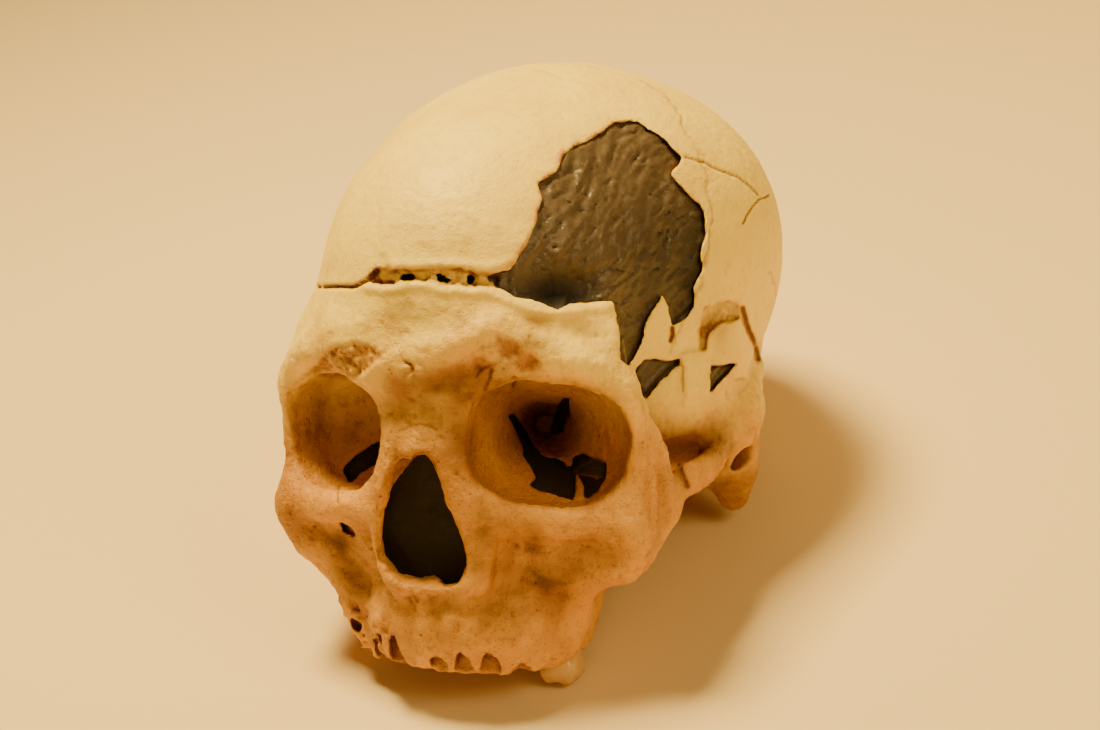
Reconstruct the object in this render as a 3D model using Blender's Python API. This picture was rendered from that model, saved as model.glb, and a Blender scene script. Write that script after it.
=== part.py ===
"""Fossil human skull, life size: a cranium without its lower jaw, lying as the bare bone rests.

The bone is shaped as a block of distances in millimetres, in the skull's own frame: x to its left,
y to its back, z up, with the ear holes and the lower rims of the orbits at z = 0. The block is meshed
whole, the resin's places are cut into it, and thin cuts part it along its sutures and its one long
break. At the end everything is laid on the plane that the skull rests on.
"""

import math

import bmesh
import bpy
import numpy as np
import openvdb
from mathutils import Matrix, Vector

MM = 0.001

# Driving sizes, in millimetres
GRID = 1.7
BLOCK_LOW = (0.0, -104.0, -66.0)
BLOCK_HIGH = (76.0, 98.0, 120.0)
BONE_TRIANGLES = 8200
GAP = 0.3
VAULT_HALF_WIDTH = 64.5
VAULT_HALF_LENGTH = 82.5
VAULT_HALF_HEIGHT = 64.5
FILL_SINK = 1.6
POCKET_DEPTH = 6.5
NOSE_DEPTH = 66.0
NOSE_FILL_FRONT = 79.0

# The orbit is a cone from its apex to its mouth
ORBIT_APEX = np.array([14.0, -38.0, 11.0])
ORBIT_MOUTH = np.array([32.3, -76.5, 15.2])
ORBIT_SLOPE = math.radians(9.0)
ORBIT_KNOTS = (-8, 0, 10, 22, 33, 41, 44, 60)
ORBIT_HALF_WIDTHS = (1, 3.5, 9.0, 15.5, 20.5, 21.6, 21.3, 22.5)
ORBIT_HALF_HEIGHTS = (1, 3.5, 8.0, 13.5, 17.2, 17.3, 16.4, 17.0)
ORBIT_SQUARENESS = 2.7

# The line of sight that the fills' outlines are drawn on: eye, and the picture plane's distance
SIGHT_EYE = np.array([249.4, -548.5, 134.9])
SIGHT_RIGHT = np.array([0.9125, 0.4064, -0.0472])
SIGHT_UP = np.array([-0.0333, 0.1887, 0.9815])
SIGHT_BACK = np.array([0.4078, -0.8940, 0.1858])
SIGHT_DISTANCE = 592.7

# Outlines on the picture plane, to the right and up from its middle
TEMPLE_OUTLINE = [
    (-18.8, 26.3), (-12.8, 28.6), (-8.4, 33.7), (-4.5, 40.6), (-2.4, 49.5), (2.5, 58.5),
    (9.0, 66.2), (20.0, 72.2), (26.3, 72.9), (34.3, 67.3), (39.7, 62.1), (36.1, 57.0),
    (42.1, 50.4), (46.0, 45.7), (46.0, 37.6), (45.4, 27.7), (43.1, 17.9), (36.1, 12.1),
    (33.1, 21.2), (29.8, 14.9), (26.3, 5.1), (23.9, -0.9), (21.2, 2.1), (20.3, 14.9),
    (18.4, 19.4), (11.3, 18.2), (2.1, 16.1), (-4.5, 18.8), (-10.7, 20.3), (-18.8, 24.2),
]
FRONT_WINDOW_OUTLINE = [
    (26.0, -1.9), (28.3, 1.5), (39.1, 2.4), (38.8, 0.0), (33.1, -4.8), (29.2, -9.4), (26.8, -6.6),
]
REAR_WINDOW_OUTLINE = [(47.1, -0.3), (55.2, 0.6), (52.8, -3.0), (48.3, -8.1), (43.9, -7.2)]
LEFT_ORBIT_OUTLINE = [
    (-12.5, -14.9), (-7.5, -18.8), (-2.1, -27.2), (6.3, -30.1), (10.1, -26.6), (16.7, -29.2),
    (16.7, -33.7), (11.6, -40.0), (6.9, -40.9), (-6.6, -36.1), (-8.4, -27.2),
]
LEFT_ORBIT_SLIT_OUTLINE = [(3.2, -9.5), (6.3, -9.5), (5.4, -13.7), (4.2, -20.6), (0.3, -20.3)]
RIGHT_ORBIT_OUTLINE = [
    (-61.5, -31.5), (-59.4, -35.0), (-51.6, -29.8), (-46.5, -26.0), (-46.5, -23.6), (-54.3, -24.5),
]

# Sutures in side view, as (y, z), from front to back
CORONAL = [(9.0, 126.0), (9.0, 107.0), (-3.0, 95.0), (-13.0, 78.0), (-21.0, 60.0), (-29.0, 46.0)]
PTERION = (-35.0, 33.0)
FRONTAL_FLOOR = [(-46.0, 27.0), (-60.0, 23.0), (-110.0, 23.0)]
FRONTAL_BREAK = [(-110.0, 59.0), (-84.0, 58.5), (-62.0, 53.5), (-40.0, 50.0), (-20.0, 52.0)]
SQUAMOSAL = [(-35.0, 33.0), (-26.0, 42.0), (-10.0, 50.0), (10.0, 50.0), (27.0, 39.0), (36.0, 24.0)]
LAMBDOID = [(47.0, 14.0), (60.0, 28.0), (72.0, 45.0), (84.0, 60.0), (106.0, 76.0)]

NOSE_OUTLINE = [
    (-5.4, -23.3), (-12.9, -21.5), (-15.6, -17.0), (-15.0, -10.0), (-12.0, 0.0), (-9.0, 8.0),
    (-6.0, 12.3), (-1.5, 12.3), (2.2, 8.0), (5.2, 0.0), (8.2, -10.0), (8.8, -17.0), (6.1, -21.5),
    (-1.0, -23.3),
]
NOSE_POCKET_MARGIN = 1.0

# The empty sockets, each as x, y and the height of its end
FRONT_SOCKETS = [(-13.0, -84.5, -41.0), (-0.4, -86.8, -44.5), (6.8, -86.0, -43.0), (14.5, -83.0, -39.0)]
BACK_SOCKETS = [
    (21.5, -77.5, -42.0), (-21.5, -77.5, -43.0), (-27.5, -68.0, -43.0), (-29.0, -58.0, -42.0),
    (28.0, -50.0, -42.0),
]

# The tooth left in the jaw, hanging from its root
TOOTH_FOOT = (26.8, -62.0, -57.3)
TOOTH_CROWN_RADIUS = 5.9
TOOTH_CROWN_DEPTH = 8.5
TOOTH_CROWN_ROUNDING = 2.2
TOOTH_NECK_RADIUS = 4.9
TOOTH_TIP_RADIUS = 2.4
TOOTH_ROOT_LENGTH = 12.0
TOOTH_SEGMENTS = 18

# How the skull lies: tipped back on its tooth and the back of its base
REST_TILT = math.radians(19.4)
REST_HEIGHT = -33.6
REST_SHIFT = (0.0, -3.915)

# Each fill with its outline and the distances that its pocket runs between
FILLS = [
    ("fill_temple", TEMPLE_OUTLINE, (500.0, 640.0)),
    ("fill_window_front", FRONT_WINDOW_OUTLINE, (545.0, 590.0)),
    ("fill_window_rear", REAR_WINDOW_OUTLINE, (570.0, 612.0)),
    ("fill_orbit_left", LEFT_ORBIT_OUTLINE, (535.0, 580.0)),
    ("fill_orbit_left_slit", LEFT_ORBIT_SLIT_OUTLINE, (545.0, 586.0)),
    ("fill_orbit_right", RIGHT_ORBIT_OUTLINE, (560.0, 588.0)),
]

SOLVER = "EXACT"
ONE_BODY = 0.999
SCRAP = 0.0001
SHARP_ANGLE = math.radians(40.0)
BONE_COLOUR = (0.60, 0.40, 0.19)
BONE_COLOURS = {
    "frontal_vault": (0.78, 0.62, 0.36),
    "parietal_left": (0.72, 0.54, 0.28),
    "parietal_right": (0.76, 0.60, 0.34),
    "maxilla_left": (0.50, 0.29, 0.12),
    "maxilla_right": (0.52, 0.31, 0.13),
}
TOOTH_COLOUR = (0.66, 0.50, 0.28)
RESIN_COLOUR = (0.045, 0.032, 0.025)
BONE_ROUGHNESS = 0.62
TOOTH_ROUGHNESS = 0.35
RESIN_ROUGHNESS = 0.5


# Clay: a block of distances that forms are added to and cut from

class Clay:
    """Signed distances in millimetres, negative inside the bone, on a regular grid."""

    def __init__(self, low, high, step):
        self.step = step
        self.axes = [np.arange(a, b + step / 2, step, dtype=np.float32) for a, b in zip(low, high)]
        self.distance = np.full([len(axis) for axis in self.axes], 30.0, np.float32)

    def window(self, low, high, margin):
        """The part of the grid within margin of a box, and its coordinates."""
        spans = []
        for axis, start, end in zip(self.axes, low, high):
            first = int(np.searchsorted(axis, start - margin)) - 1
            last = int(np.searchsorted(axis, end + margin)) + 1
            spans.append(slice(max(first, 0), max(last, 1)))
        x, y, z = (axis[span] for axis, span in zip(self.axes, spans))
        return tuple(spans), (x[:, None, None], y[None, :, None], z[None, None, :])

    def blend(self, form, softness, sign):
        for low, high, measure in form:
            spans, place = self.window(low, high, softness + 5)
            held = self.distance[spans]
            if held.size:
                self.distance[spans] = sign * smooth_minimum(sign * held, measure(*place), softness)

    def add(self, form, softness):
        self.blend(form, softness, 1)

    def cut(self, form, softness):
        self.blend(form, softness, -1)

    def swell(self, centre, size, height):
        """Raises the surface round centre by height, or sinks it where height is negative."""
        centre = np.array(centre, float)
        reach = np.array(size, float) * 2.6
        spans, (x, y, z) = self.window(centre - reach, centre + reach, 0)
        spread = ((x - centre[0]) / size[0])**2 + ((y - centre[1]) / size[1])**2
        spread = spread + ((z - centre[2]) / size[2])**2
        self.distance[spans] -= height * np.exp(-spread)

    def mirrored(self):
        """The whole block from its left half, which starts at x = 0."""
        whole = Clay.__new__(Clay)
        whole.step = self.step
        whole.axes = [np.concatenate([-self.axes[0][:0:-1], self.axes[0]]), self.axes[1], self.axes[2]]
        whole.distance = np.concatenate([self.distance[:0:-1], self.distance])
        return whole


def smooth_minimum(a, b, softness):
    if softness <= 0:
        return np.minimum(a, b)
    overlap = np.maximum(softness - np.abs(a - b), 0) / softness
    return np.minimum(a, b) - overlap * overlap * softness / 4


def ellipsoid(centre, radii, turn=0.0):
    """An ellipsoid, turned about z by turn degrees."""
    centre = np.array(centre, float)
    radii = np.array(radii, float)
    cosine, sine = math.cos(math.radians(turn)), math.sin(math.radians(turn))
    reach = radii if turn == 0 else np.full(3, radii.max())

    def measure(x, y, z):
        u, v, w = x - centre[0], y - centre[1], z - centre[2]
        u, v = cosine * u + sine * v, cosine * v - sine * u
        u, v, w = u / radii[0], v / radii[1], w / radii[2]
        scaled = np.sqrt(u * u + v * v + w * w)
        slope = np.sqrt((u / radii[0])**2 + (v / radii[1])**2 + (w / radii[2])**2) + 1e-6
        return (scaled * (scaled - 1) / slope).astype(np.float32)

    return [(centre - reach, centre + reach, measure)]


def smooth_path(points, spans):
    """Points along a curve through the rows given, with that many spans between two of them."""
    rows = np.array(points, float)
    rows = np.vstack([2 * rows[0] - rows[1], rows, 2 * rows[-1] - rows[-2]])
    path = []
    for before, start, end, after in zip(rows, rows[1:], rows[2:], rows[3:]):
        for t in np.arange(spans) / spans:
            bend = (2 * before - 5 * start + 4 * end - after) * t * t
            twist = (3 * start - before - 3 * end + after) * t**3
            path.append(0.5 * (2 * start + (end - before) * t + bend + twist))
    path.append(rows[-2])
    return np.array(path)


def rod(start, end, radii, flat_axis=None, flatness=1.0):
    """A tapered rod. flatness above 1 makes it thinner along flat_axis."""
    start, end = np.array(start, float), np.array(end, float)
    along = end - start
    if flat_axis is not None:
        flat_axis = np.array(flat_axis, float) / np.linalg.norm(flat_axis)
        along = along + (along @ flat_axis) * (flatness - 1) * flat_axis
    length_squared = float(along @ along)

    def measure(x, y, z):
        u, v, w = x - start[0], y - start[1], z - start[2]
        if flat_axis is not None:
            across = (u * flat_axis[0] + v * flat_axis[1] + w * flat_axis[2]) * (flatness - 1)
            u, v, w = u + across * flat_axis[0], v + across * flat_axis[1], w + across * flat_axis[2]
        t = np.clip((u * along[0] + v * along[1] + w * along[2]) / length_squared, 0, 1)
        spread = (u - t * along[0])**2 + (v - t * along[1])**2 + (w - t * along[2])**2
        distance = np.sqrt(spread) - (radii[0] + (radii[1] - radii[0]) * t)
        return (distance / flatness).astype(np.float32)

    margin = max(radii)
    return [(np.minimum(start, end) - margin, np.maximum(start, end) + margin, measure)]


def bar(rows, flat_axis=None, flatness=1.0):
    """A bent bar through rows of x, y, z and radius."""
    path = smooth_path(rows, 3)
    rods = [rod(a[:3], b[:3], (a[3], b[3]), flat_axis, flatness)[0] for a, b in zip(path, path[1:])]

    def measure(x, y, z):
        distance = rods[0][2](x, y, z)
        for piece in rods[1:]:
            distance = np.minimum(distance, piece[2](x, y, z))
        return distance

    low = np.min([piece[0] for piece in rods], axis=0)
    high = np.max([piece[1] for piece in rods], axis=0)
    return [(low, high, measure)]


def orbit(wall, reach):
    """The orbit's hollow, or with a wall of that thickness its outside, reach past its mouth."""
    axis = ORBIT_MOUTH - ORBIT_APEX
    length = np.linalg.norm(axis)
    axis = axis / length
    side = np.cross(axis, [0, 0, 1.0])
    side = side / np.linalg.norm(side) * math.copysign(1, side[0])
    up = np.cross(side, axis)
    up = up * math.copysign(1, up[2])
    cosine, sine = math.cos(ORBIT_SLOPE), math.sin(ORBIT_SLOPE)
    side, up = cosine * side - sine * up, sine * side + cosine * up

    def measure(x, y, z):
        u, v, w = x - ORBIT_APEX[0], y - ORBIT_APEX[1], z - ORBIT_APEX[2]
        depth = u * axis[0] + v * axis[1] + w * axis[2]
        wide = np.interp(depth, ORBIT_KNOTS, ORBIT_HALF_WIDTHS) + wall
        high = np.interp(depth, ORBIT_KNOTS, ORBIT_HALF_HEIGHTS) + wall
        across = np.abs((u * side[0] + v * side[1] + w * side[2]) / wide)**ORBIT_SQUARENESS
        upward = np.abs((u * up[0] + v * up[1] + w * up[2]) / high)**ORBIT_SQUARENESS
        distance = ((across + upward)**(1 / ORBIT_SQUARENESS) - 1) * np.minimum(wide, high)
        distance = np.maximum(distance, depth - (length + reach))
        return np.maximum(distance, -depth - 3).astype(np.float32)

    far = ORBIT_MOUTH + 12 * axis
    return [(np.minimum(ORBIT_APEX, far) - 24, np.maximum(ORBIT_APEX, far) + 24, measure)]


# The skull's forms, each on its left side

def shape_braincase(clay):
    clay.add(ellipsoid((0, 8, 48.5), (VAULT_HALF_WIDTH, VAULT_HALF_LENGTH, VAULT_HALF_HEIGHT)), 0)
    clay.add(ellipsoid((0, -41, 51.5), (45.5, 49.5, 48)), 16)
    clay.add(ellipsoid((26.5, 14, 59), (38, 43, 39.5)), 14)
    clay.add(ellipsoid((0, 50, 30), (46, 39, 40)), 16)
    clay.add(ellipsoid((23, 40, 2), (27, 28, 21)), 16)
    clay.add(ellipsoid((34, -12, 14), (25, 36, 23)), 12)


def shape_base(clay):
    clay.add(ellipsoid((0, -8, -12), (15, 26, 10)), 8)
    clay.add(ellipsoid((0, -36, 2), (17, 16, 16)), 8)
    clay.add(bar([(47, 2, -8, 7), (32, -8, -12, 7), (17, -16, -14, 6)]), 6)
    clay.add(ellipsoid((17, 8, -24), (5.5, 11, 6.5), -22), 4)
    clay.add(bar([(17, -38, -6, 4), (20, -36, -22, 3.4), (24, -33, -36, 2.6)], (1, 0.35, 0), 1.5), 4)
    clay.add(bar([(12, -37, -6, 4), (12.5, -35, -22, 2.8), (13, -33, -36, 2.2)], (1, -0.1, 0), 1.3), 4)


def shape_ear(clay):
    clay.add(bar([(52, 6, 4, 12), (53, 10, -8, 9.5), (53, 13, -20, 5)]), 7)
    clay.add(bar([(55, -14, 2, 4), (58, -2, 5, 3.6), (58, 10, 9, 3.4), (56, 26, 16, 3)]), 9)
    clay.add(ellipsoid((53, 1, -4), (7, 7, 7)), 5)


def shape_brow(clay):
    clay.add(ellipsoid((0, -70, 17), (16, 17, 20)), 8)
    clay.add(bar([(0, -80, 44, 9), (16, -77, 46, 9), (32, -70, 44, 8), (43, -63, 40, 7)]), 10)
    clay.add(bar([
        (0, -87.5, 33, 6), (9, -86, 33.5, 6), (20, -83, 37, 5), (31, -78.5, 39, 4.6),
        (42, -73.5, 37, 4.4), (48.5, -68.5, 31, 4.4), (50.5, -66.5, 25, 4.2),
    ]), 6)
    clay.add(bar([(4, -87, 37, 5), (14, -85.5, 42, 5), (26, -81, 44, 4)]), 8)
    clay.add(bar([(49.5, -64, 32, 4), (45.5, -61, 42, 4.5), (41, -57, 52, 4.5), (39, -48, 62, 3)]), 8)


def shape_cheek(clay):
    clay.add(orbit(4.0, 0.5), 5)
    clay.add(bar([
        (50.5, -66.5, 26, 4.2), (52.3, -64, 15, 4.4), (53, -63.3, 4, 4.7), (51, -66, -7, 5.8),
    ]), 5)
    clay.add(bar([(52, -60, 23, 3.3), (55.3, -56, 10, 3.6), (56, -55, -2, 4.4)]), 5)
    clay.add(bar([
        (51, -66, -7, 5.6), (43, -72.5, -6.5, 5), (34, -77.6, -6.3, 4.4), (23, -81, -4.5, 4.2),
        (14.5, -82.5, 1, 4.2), (11, -82, 10, 4.2),
    ]), 5)
    clay.add(ellipsoid((47.5, -65.5, -10.5), (11.5, 6.8, 12.5), -33), 6)
    clay.add(bar([
        (40, -69.5, -19, 4.2), (46, -67.3, -19.5, 4.3), (51.5, -62, -15.5, 4.5), (55.8, -54, -8.5, 4.6),
    ]), 6)


def shape_arch(clay):
    clay.add(bar([
        (55.5, -54, -4, 5), (58.6, -44, -1.4, 5), (59.8, -30, -1.4, 4.8), (59, -16, 0.5, 4.6),
        (56, -4, 3, 5),
    ], (1, 0.15, 0), 1.5), 4)


def shape_maxilla(clay):
    clay.add(ellipsoid((23, -62, -15), (18, 19.5, 18)), 8)
    clay.add(bar([(46, -66, -19, 4), (40, -66, -23, 4.6), (33.5, -65, -28, 5.2), (29.5, -62, -37, 5)]), 7)
    clay.add(ellipsoid((24.5, -49, -27), (9.5, 9.5, 17)), 7)
    clay.add(ellipsoid((0, -74, -32), (23, 11.5, 13)), 8)


def shape_nose(clay):
    clay.add(bar([
        (5, -84, 24, 5), (6, -87, 16, 4.5), (9.5, -87, 6, 4.2), (13, -86, -4, 4), (15, -85, -13, 4),
        (12.5, -84.5, -22, 4), (4, -85, -26, 4), (0, -85, -26.5, 4),
    ]), 6)
    clay.add(bar([(0, -86, 23, 4.5), (0, -90.5, 15, 3.8)]), 4)
    clay.add(ellipsoid((12, -76, 2), (9, 10, 20)), 7)
    clay.add(bar([(0, -85, -25.5, 2.4), (0, -89.5, -23.5, 1.4)]), 3)


def shape_tooth_row(clay):
    clay.add(bar([
        (0, -80.5, -37, 6.6), (12, -79, -37.5, 6.6), (20.5, -74.5, -38, 6.6), (25.5, -66, -38.5, 6.6),
        (26.5, -55, -38.5, 6.4), (25.2, -46, -37, 6.2),
    ]), 7)
    clay.add(bar([
        (0, -82.5, -45.5, 4.2), (12, -81, -45.5, 4.2), (21, -76, -45.5, 4.4), (26, -67, -45.5, 4.8),
        (27, -56, -45.5, 4.8), (25.2, -47, -43.5, 4.6),
    ]), 6)
    clay.add(ellipsoid((0, -62, -31), (24, 22, 5)), 4)


def shape_hollows(clay):
    clay.cut(orbit(0.0, 14), 1.6)
    clay.swell((54, -50, 36), (13, 13, 22), -3.2)
    clay.swell((28, -82, -19), (9, 8, 10), -3.2)
    clay.cut(rod((66, 1, -6), (46, -1, -3), (4.2, 3.6)), 1.2)
    clay.cut(rod((28, -88, -14), (25, -77, -10), (2.4, 1.6)), 1.0)
    clay.cut(ellipsoid((0, 15, -26), (14.5, 17.5, 17)), 2)
    clay.cut(bar([(8, -30, -22, 5), (8, -48, -20, 5)]), 2)


def nose_opening(x, y, z):
    """The pear-shaped opening, a little to the skull's right of the middle."""
    half_width = np.interp(z, (-25, -21.5, -17, -10, 0, 8, 13), (2, 9.5, 12.2, 11.6, 8.6, 5.6, 1.5))
    distance = np.maximum(np.abs(x + 3.4) - half_width, np.maximum(z - 12.5, -23.3 - z))
    return np.maximum(distance, y + NOSE_DEPTH).astype(np.float32)


def shape_right_side(clay):
    """What differs between the two sides: the wider right jaw, the broken sockets, the resin's back."""
    clay.add(ellipsoid((-39.5, -48.8, 0.2), (8.5, 10, 9.5)), 4)
    clay.add(bar([
        (-44, -67, -21, 4.4), (-37, -68, -28, 5.5), (-32.5, -70, -38, 5.5), (-31.5, -69, -45.5, 4.6),
    ]), 7)
    for x, y, top in FRONT_SOCKETS:
        clay.cut(rod((x, y, -56), (x, y + 2, top), (3.0, 2.2)), 1.0)
    for x, y, top in BACK_SOCKETS:
        clay.cut(rod((x, y, -54), (x, y, top), (3.2, 2.4)), 1.2)


def shape_skull(step):
    half = Clay(BLOCK_LOW, BLOCK_HIGH, step)
    for shape in (
        shape_braincase, shape_base, shape_ear, shape_brow, shape_cheek, shape_arch, shape_maxilla,
        shape_nose, shape_tooth_row, shape_hollows,
    ):
        shape(half)
    whole = half.mirrored()
    whole.cut([(np.array([-18, -106, -26]), np.array([11, -NOSE_DEPTH, 14]), nose_opening)], 1.5)
    shape_right_side(whole)
    return whole


# Meshes, and the solids that cut them

def clay_mesh(name, clay, level, triangles):
    """The clay's surface at a distance level, as a mesh object of about that many triangles."""
    band = 3 * clay.step
    grid = openvdb.FloatGrid(band)
    values = np.clip(clay.distance - level, -band, band)
    grid.copyFromArray(np.ascontiguousarray(np.pad(values, 1, constant_values=band)))
    points, quads = grid.convertToQuads(0.0)
    corner = np.array([axis[0] - clay.step for axis in clay.axes])
    mesh = bpy.data.meshes.new(name)
    mesh.from_pydata((points * clay.step + corner) * MM, [], quads)
    obj = placed(name, mesh)
    thinner = obj.modifiers.new("fewer faces", "DECIMATE")
    thinner.ratio = triangles / (2 * len(quads))
    thinner.use_collapse_triangulate = True
    apply_modifiers(obj)
    keep_bodies(obj, SCRAP)
    return obj


def placed(name, mesh):
    obj = bpy.data.objects.new(name, mesh)
    bpy.context.scene.collection.objects.link(obj)
    return obj


def apply_modifiers(obj):
    graph = bpy.context.evaluated_depsgraph_get()
    mesh = bpy.data.meshes.new_from_object(obj.evaluated_get(graph))
    obj.modifiers.clear()
    used = obj.data
    obj.data = mesh
    bpy.data.meshes.remove(used)


def removed(*objects):
    for obj in objects:
        mesh = obj.data
        bpy.data.objects.remove(obj)
        bpy.data.meshes.remove(mesh)


def copied(obj, name):
    return placed(name, obj.data.copy())


def combine(obj, tool, operation):
    """Joins, cuts or intersects obj with tool."""
    step = obj.modifiers.new(operation.lower(), "BOOLEAN")
    step.operation = operation
    step.object = tool
    step.solver = SOLVER
    apply_modifiers(obj)


def loft(name, start, end):
    """A closed solid between two outlines of as many corners, in millimetres."""
    shell = bmesh.new()
    rings = [[shell.verts.new(Vector(corner) * MM) for corner in ring] for ring in (start, end)]
    for ring in rings:
        shell.faces.new(ring)
    for i in range(len(start)):
        j = (i + 1) % len(start)
        shell.faces.new((rings[0][i], rings[0][j], rings[1][j], rings[1][i]))
    bmesh.ops.recalc_face_normals(shell, faces=shell.faces)
    mesh = bpy.data.meshes.new(name)
    shell.to_mesh(mesh)
    shell.free()
    return placed(name, mesh)


def grown(outline, by):
    """A flat outline moved outwards by a distance."""
    points = np.array(outline, float)
    before, after = np.roll(points, 1, axis=0), np.roll(points, -1, axis=0)
    area = np.sum(points[:, 0] * after[:, 1] - after[:, 0] * points[:, 1])
    side = math.copysign(1, area)

    def outward(start, end):
        along = end - start
        across = np.stack([along[:, 1], -along[:, 0]], axis=1) * side
        return across / np.linalg.norm(across, axis=1, keepdims=True)

    first, second = outward(before, points), outward(points, after)
    mitre = first + second
    mitre = mitre / np.maximum(1 + np.sum(first * second, axis=1, keepdims=True), 0.35)
    return points + mitre * by


def side_solid(outline, span, grow):
    """The outline, as (y, z), swept from one x to another."""
    corners = grown(outline, grow)
    low, high = span[0] - grow, span[1] + grow
    return loft("side", [(low, y, z) for y, z in corners], [(high, y, z) for y, z in corners])


def front_solid(outline, span, grow):
    """The outline, as (x, z), swept from one y to another."""
    corners = grown(outline, grow)
    low, high = span[0] - grow, span[1] + grow
    return loft("front", [(x, low, z) for x, z in corners], [(x, high, z) for x, z in corners])


def sight_solid(outline, span, grow):
    """The outline on the picture plane, swept along the line of sight between two distances."""
    corners = grown(outline, grow)
    rings = []
    for distance in span:
        scale = distance / SIGHT_DISTANCE
        centre = SIGHT_EYE - SIGHT_BACK * distance
        rings.append([centre + (SIGHT_RIGHT * u + SIGHT_UP * v) * scale for u, v in corners])
    return loft("sight", *rings)


def flat_path(points):
    """A smooth curve through the points of an outline."""
    return [tuple(point) for point in smooth_path(points, 3)]


def box_outline(low, high):
    return [(low[0], low[1]), (high[0], low[1]), (high[0], high[1]), (low[0], high[1])]


def mirror_outline(outline):
    return [(-x, z) for x, z in outline]


def keep_bodies(obj, least):
    """Drops the closed surfaces that hold less than that share of the largest one."""
    shell = bmesh.new()
    shell.from_mesh(obj.data)
    left = set(shell.verts)
    bodies = []
    while left:
        edge = [left.pop()]
        body = set(edge)
        while edge:
            point = edge.pop()
            for link in point.link_edges:
                other = link.other_vert(point)
                if other not in body:
                    body.add(other)
                    edge.append(other)
        left -= body
        bodies.append(body)

    def volume(body):
        faces = {face for point in body for face in point.link_faces}
        return sum(face.calc_center_median().dot(face.normal) * face.calc_area() for face in faces)

    sizes = [volume(body) for body in bodies]
    scraps = [body for body, size in zip(bodies, sizes) if size < least * max(sizes)]
    bmesh.ops.delete(shell, geom=[point for body in scraps for point in body], context="VERTS")
    shell.to_mesh(obj.data)
    shell.free()


# The bones, each parted off by a region; a grown region leaves the gap

def frontal_region(grow):
    coronal = flat_path(CORONAL + [PTERION])
    return side_solid(coronal + FRONTAL_FLOOR + [(-110.0, 126.0)], (-90, 90), grow)


def frontal_vault_region(grow):
    outline = flat_path(FRONTAL_BREAK) + [(20.0, 52.0), (20.0, 132.0), (-110.0, 132.0)]
    return side_solid(outline, (-90, 90), grow)


def parietal_region(grow):
    outline = flat_path(SQUAMOSAL) + flat_path(LAMBDOID)
    outline += [(106.0, 132.0), (-60.0, 132.0), (-60.0, 33.0)]
    return side_solid(outline, (-90, 90), grow)


def side_span(side, near, far):
    return (near, far) if side > 0 else (-far, -near)


def temporal_region(side):
    outline = [
        (-20.0, 62.0), (-20.0, -62.0), (30.0, -62.0), (33.0, -12.0), (38.0, 0.0), (47.0, 14.0),
        (52.0, 62.0),
    ]

    def region(grow):
        solid = side_solid(outline, side_span(side, 33, 90), grow)
        arch = side_solid(box_outline((-36.0, -16.0), (-15.0, 16.0)), side_span(side, 51, 90), grow)
        combine(solid, arch, "UNION")
        removed(arch)
        return solid

    return region


def zygomatic_region(side):
    outline = [
        (38.0, -1.0), (36.0, -4.5), (40.0, -12.0), (45.0, -19.0), (47.0, -36.0), (80.0, -36.0),
        (80.0, 26.0), (44.0, 26.0), (43.0, 6.0),
    ]
    if side < 0:
        outline = mirror_outline(outline)

    def region(grow):
        solid = front_solid(outline, (-100, -53), grow)
        arch = side_solid(box_outline((-60.0, -18.0), (-34.0, 14.0)), side_span(side, 50.5, 80), grow)
        combine(solid, arch, "UNION")
        removed(arch)
        return solid

    return region


def nasal_region(grow):
    outline = [(-5.0, 26.0), (-7.0, 14.0), (-7.5, 7.0), (7.5, 7.0), (7.0, 14.0), (5.0, 26.0)]
    return front_solid(outline, (-104, -82), grow)


def half_region(side):
    def region(grow):
        return side_solid(box_outline((-120.0, -80.0), (120.0, 140.0)), side_span(side, GAP / 2, 95), grow)
    return region


def rear_region(edge):
    def region(grow):
        return side_solid(box_outline((edge, -80.0), (120.0, 140.0)), (-95, 95), grow)
    return region


def part_off(block, name, region):
    """Takes what lies in the region off the block, with a thin gap, and names it."""
    piece = copied(block, name)
    inside, around = region(0.0), region(GAP)
    combine(piece, inside, "INTERSECT")
    combine(block, around, "DIFFERENCE")
    removed(inside, around)
    keep_bodies(piece, ONE_BODY)
    return piece


def part_bones(skull):
    frontal = part_off(skull, "frontal_brow", frontal_region)
    bones = [frontal, part_off(frontal, "frontal_vault", frontal_vault_region)]
    parietal = part_off(skull, "parietal_right", parietal_region)
    bones += [parietal, part_off(parietal, "parietal_left", half_region(1))]
    for side, word in ((1, "left"), (-1, "right")):
        bones.append(part_off(skull, f"temporal_{word}", temporal_region(side)))
    bones.append(part_off(skull, "occipital", rear_region(-14.0)))
    for side, word in ((1, "left"), (-1, "right")):
        bones.append(part_off(skull, f"zygomatic_{word}", zygomatic_region(side)))
    bones.append(part_off(skull, "nasal_bones", nasal_region))
    bones.append(part_off(skull, "sphenoid", rear_region(-44.0)))
    bones.append(part_off(skull, "maxilla_left", half_region(1)))
    skull.name = "maxilla_right"
    bones.append(skull)
    for bone in bones:
        keep_bodies(bone, ONE_BODY)
    return bones


# The resin, the tooth and the plane that the skull rests on

def fit_fills(skull, clay):
    """Cuts the fills' pockets into the skull and returns the fills, sunk below its surface."""
    skin = clay_mesh("fill surface", clay, -FILL_SINK, 6000)
    floor = clay_mesh("pocket floor", clay, -POCKET_DEPTH, 6000)
    back = clay_mesh("fill back", clay, GAP - POCKET_DEPTH, 6000)
    fills = []
    for name, outline, span in FILLS:
        pocket = sight_solid(outline, span, 0.0)
        combine(pocket, floor, "DIFFERENCE")
        combine(skull, pocket, "DIFFERENCE")
        fill = sight_solid(outline, span, -GAP)
        fill.name = name
        combine(fill, skin, "INTERSECT")
        combine(fill, back, "DIFFERENCE")
        keep_bodies(fill, ONE_BODY)
        removed(pocket)
        fills.append(fill)
    removed(skin, floor, back)
    return fills


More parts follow.
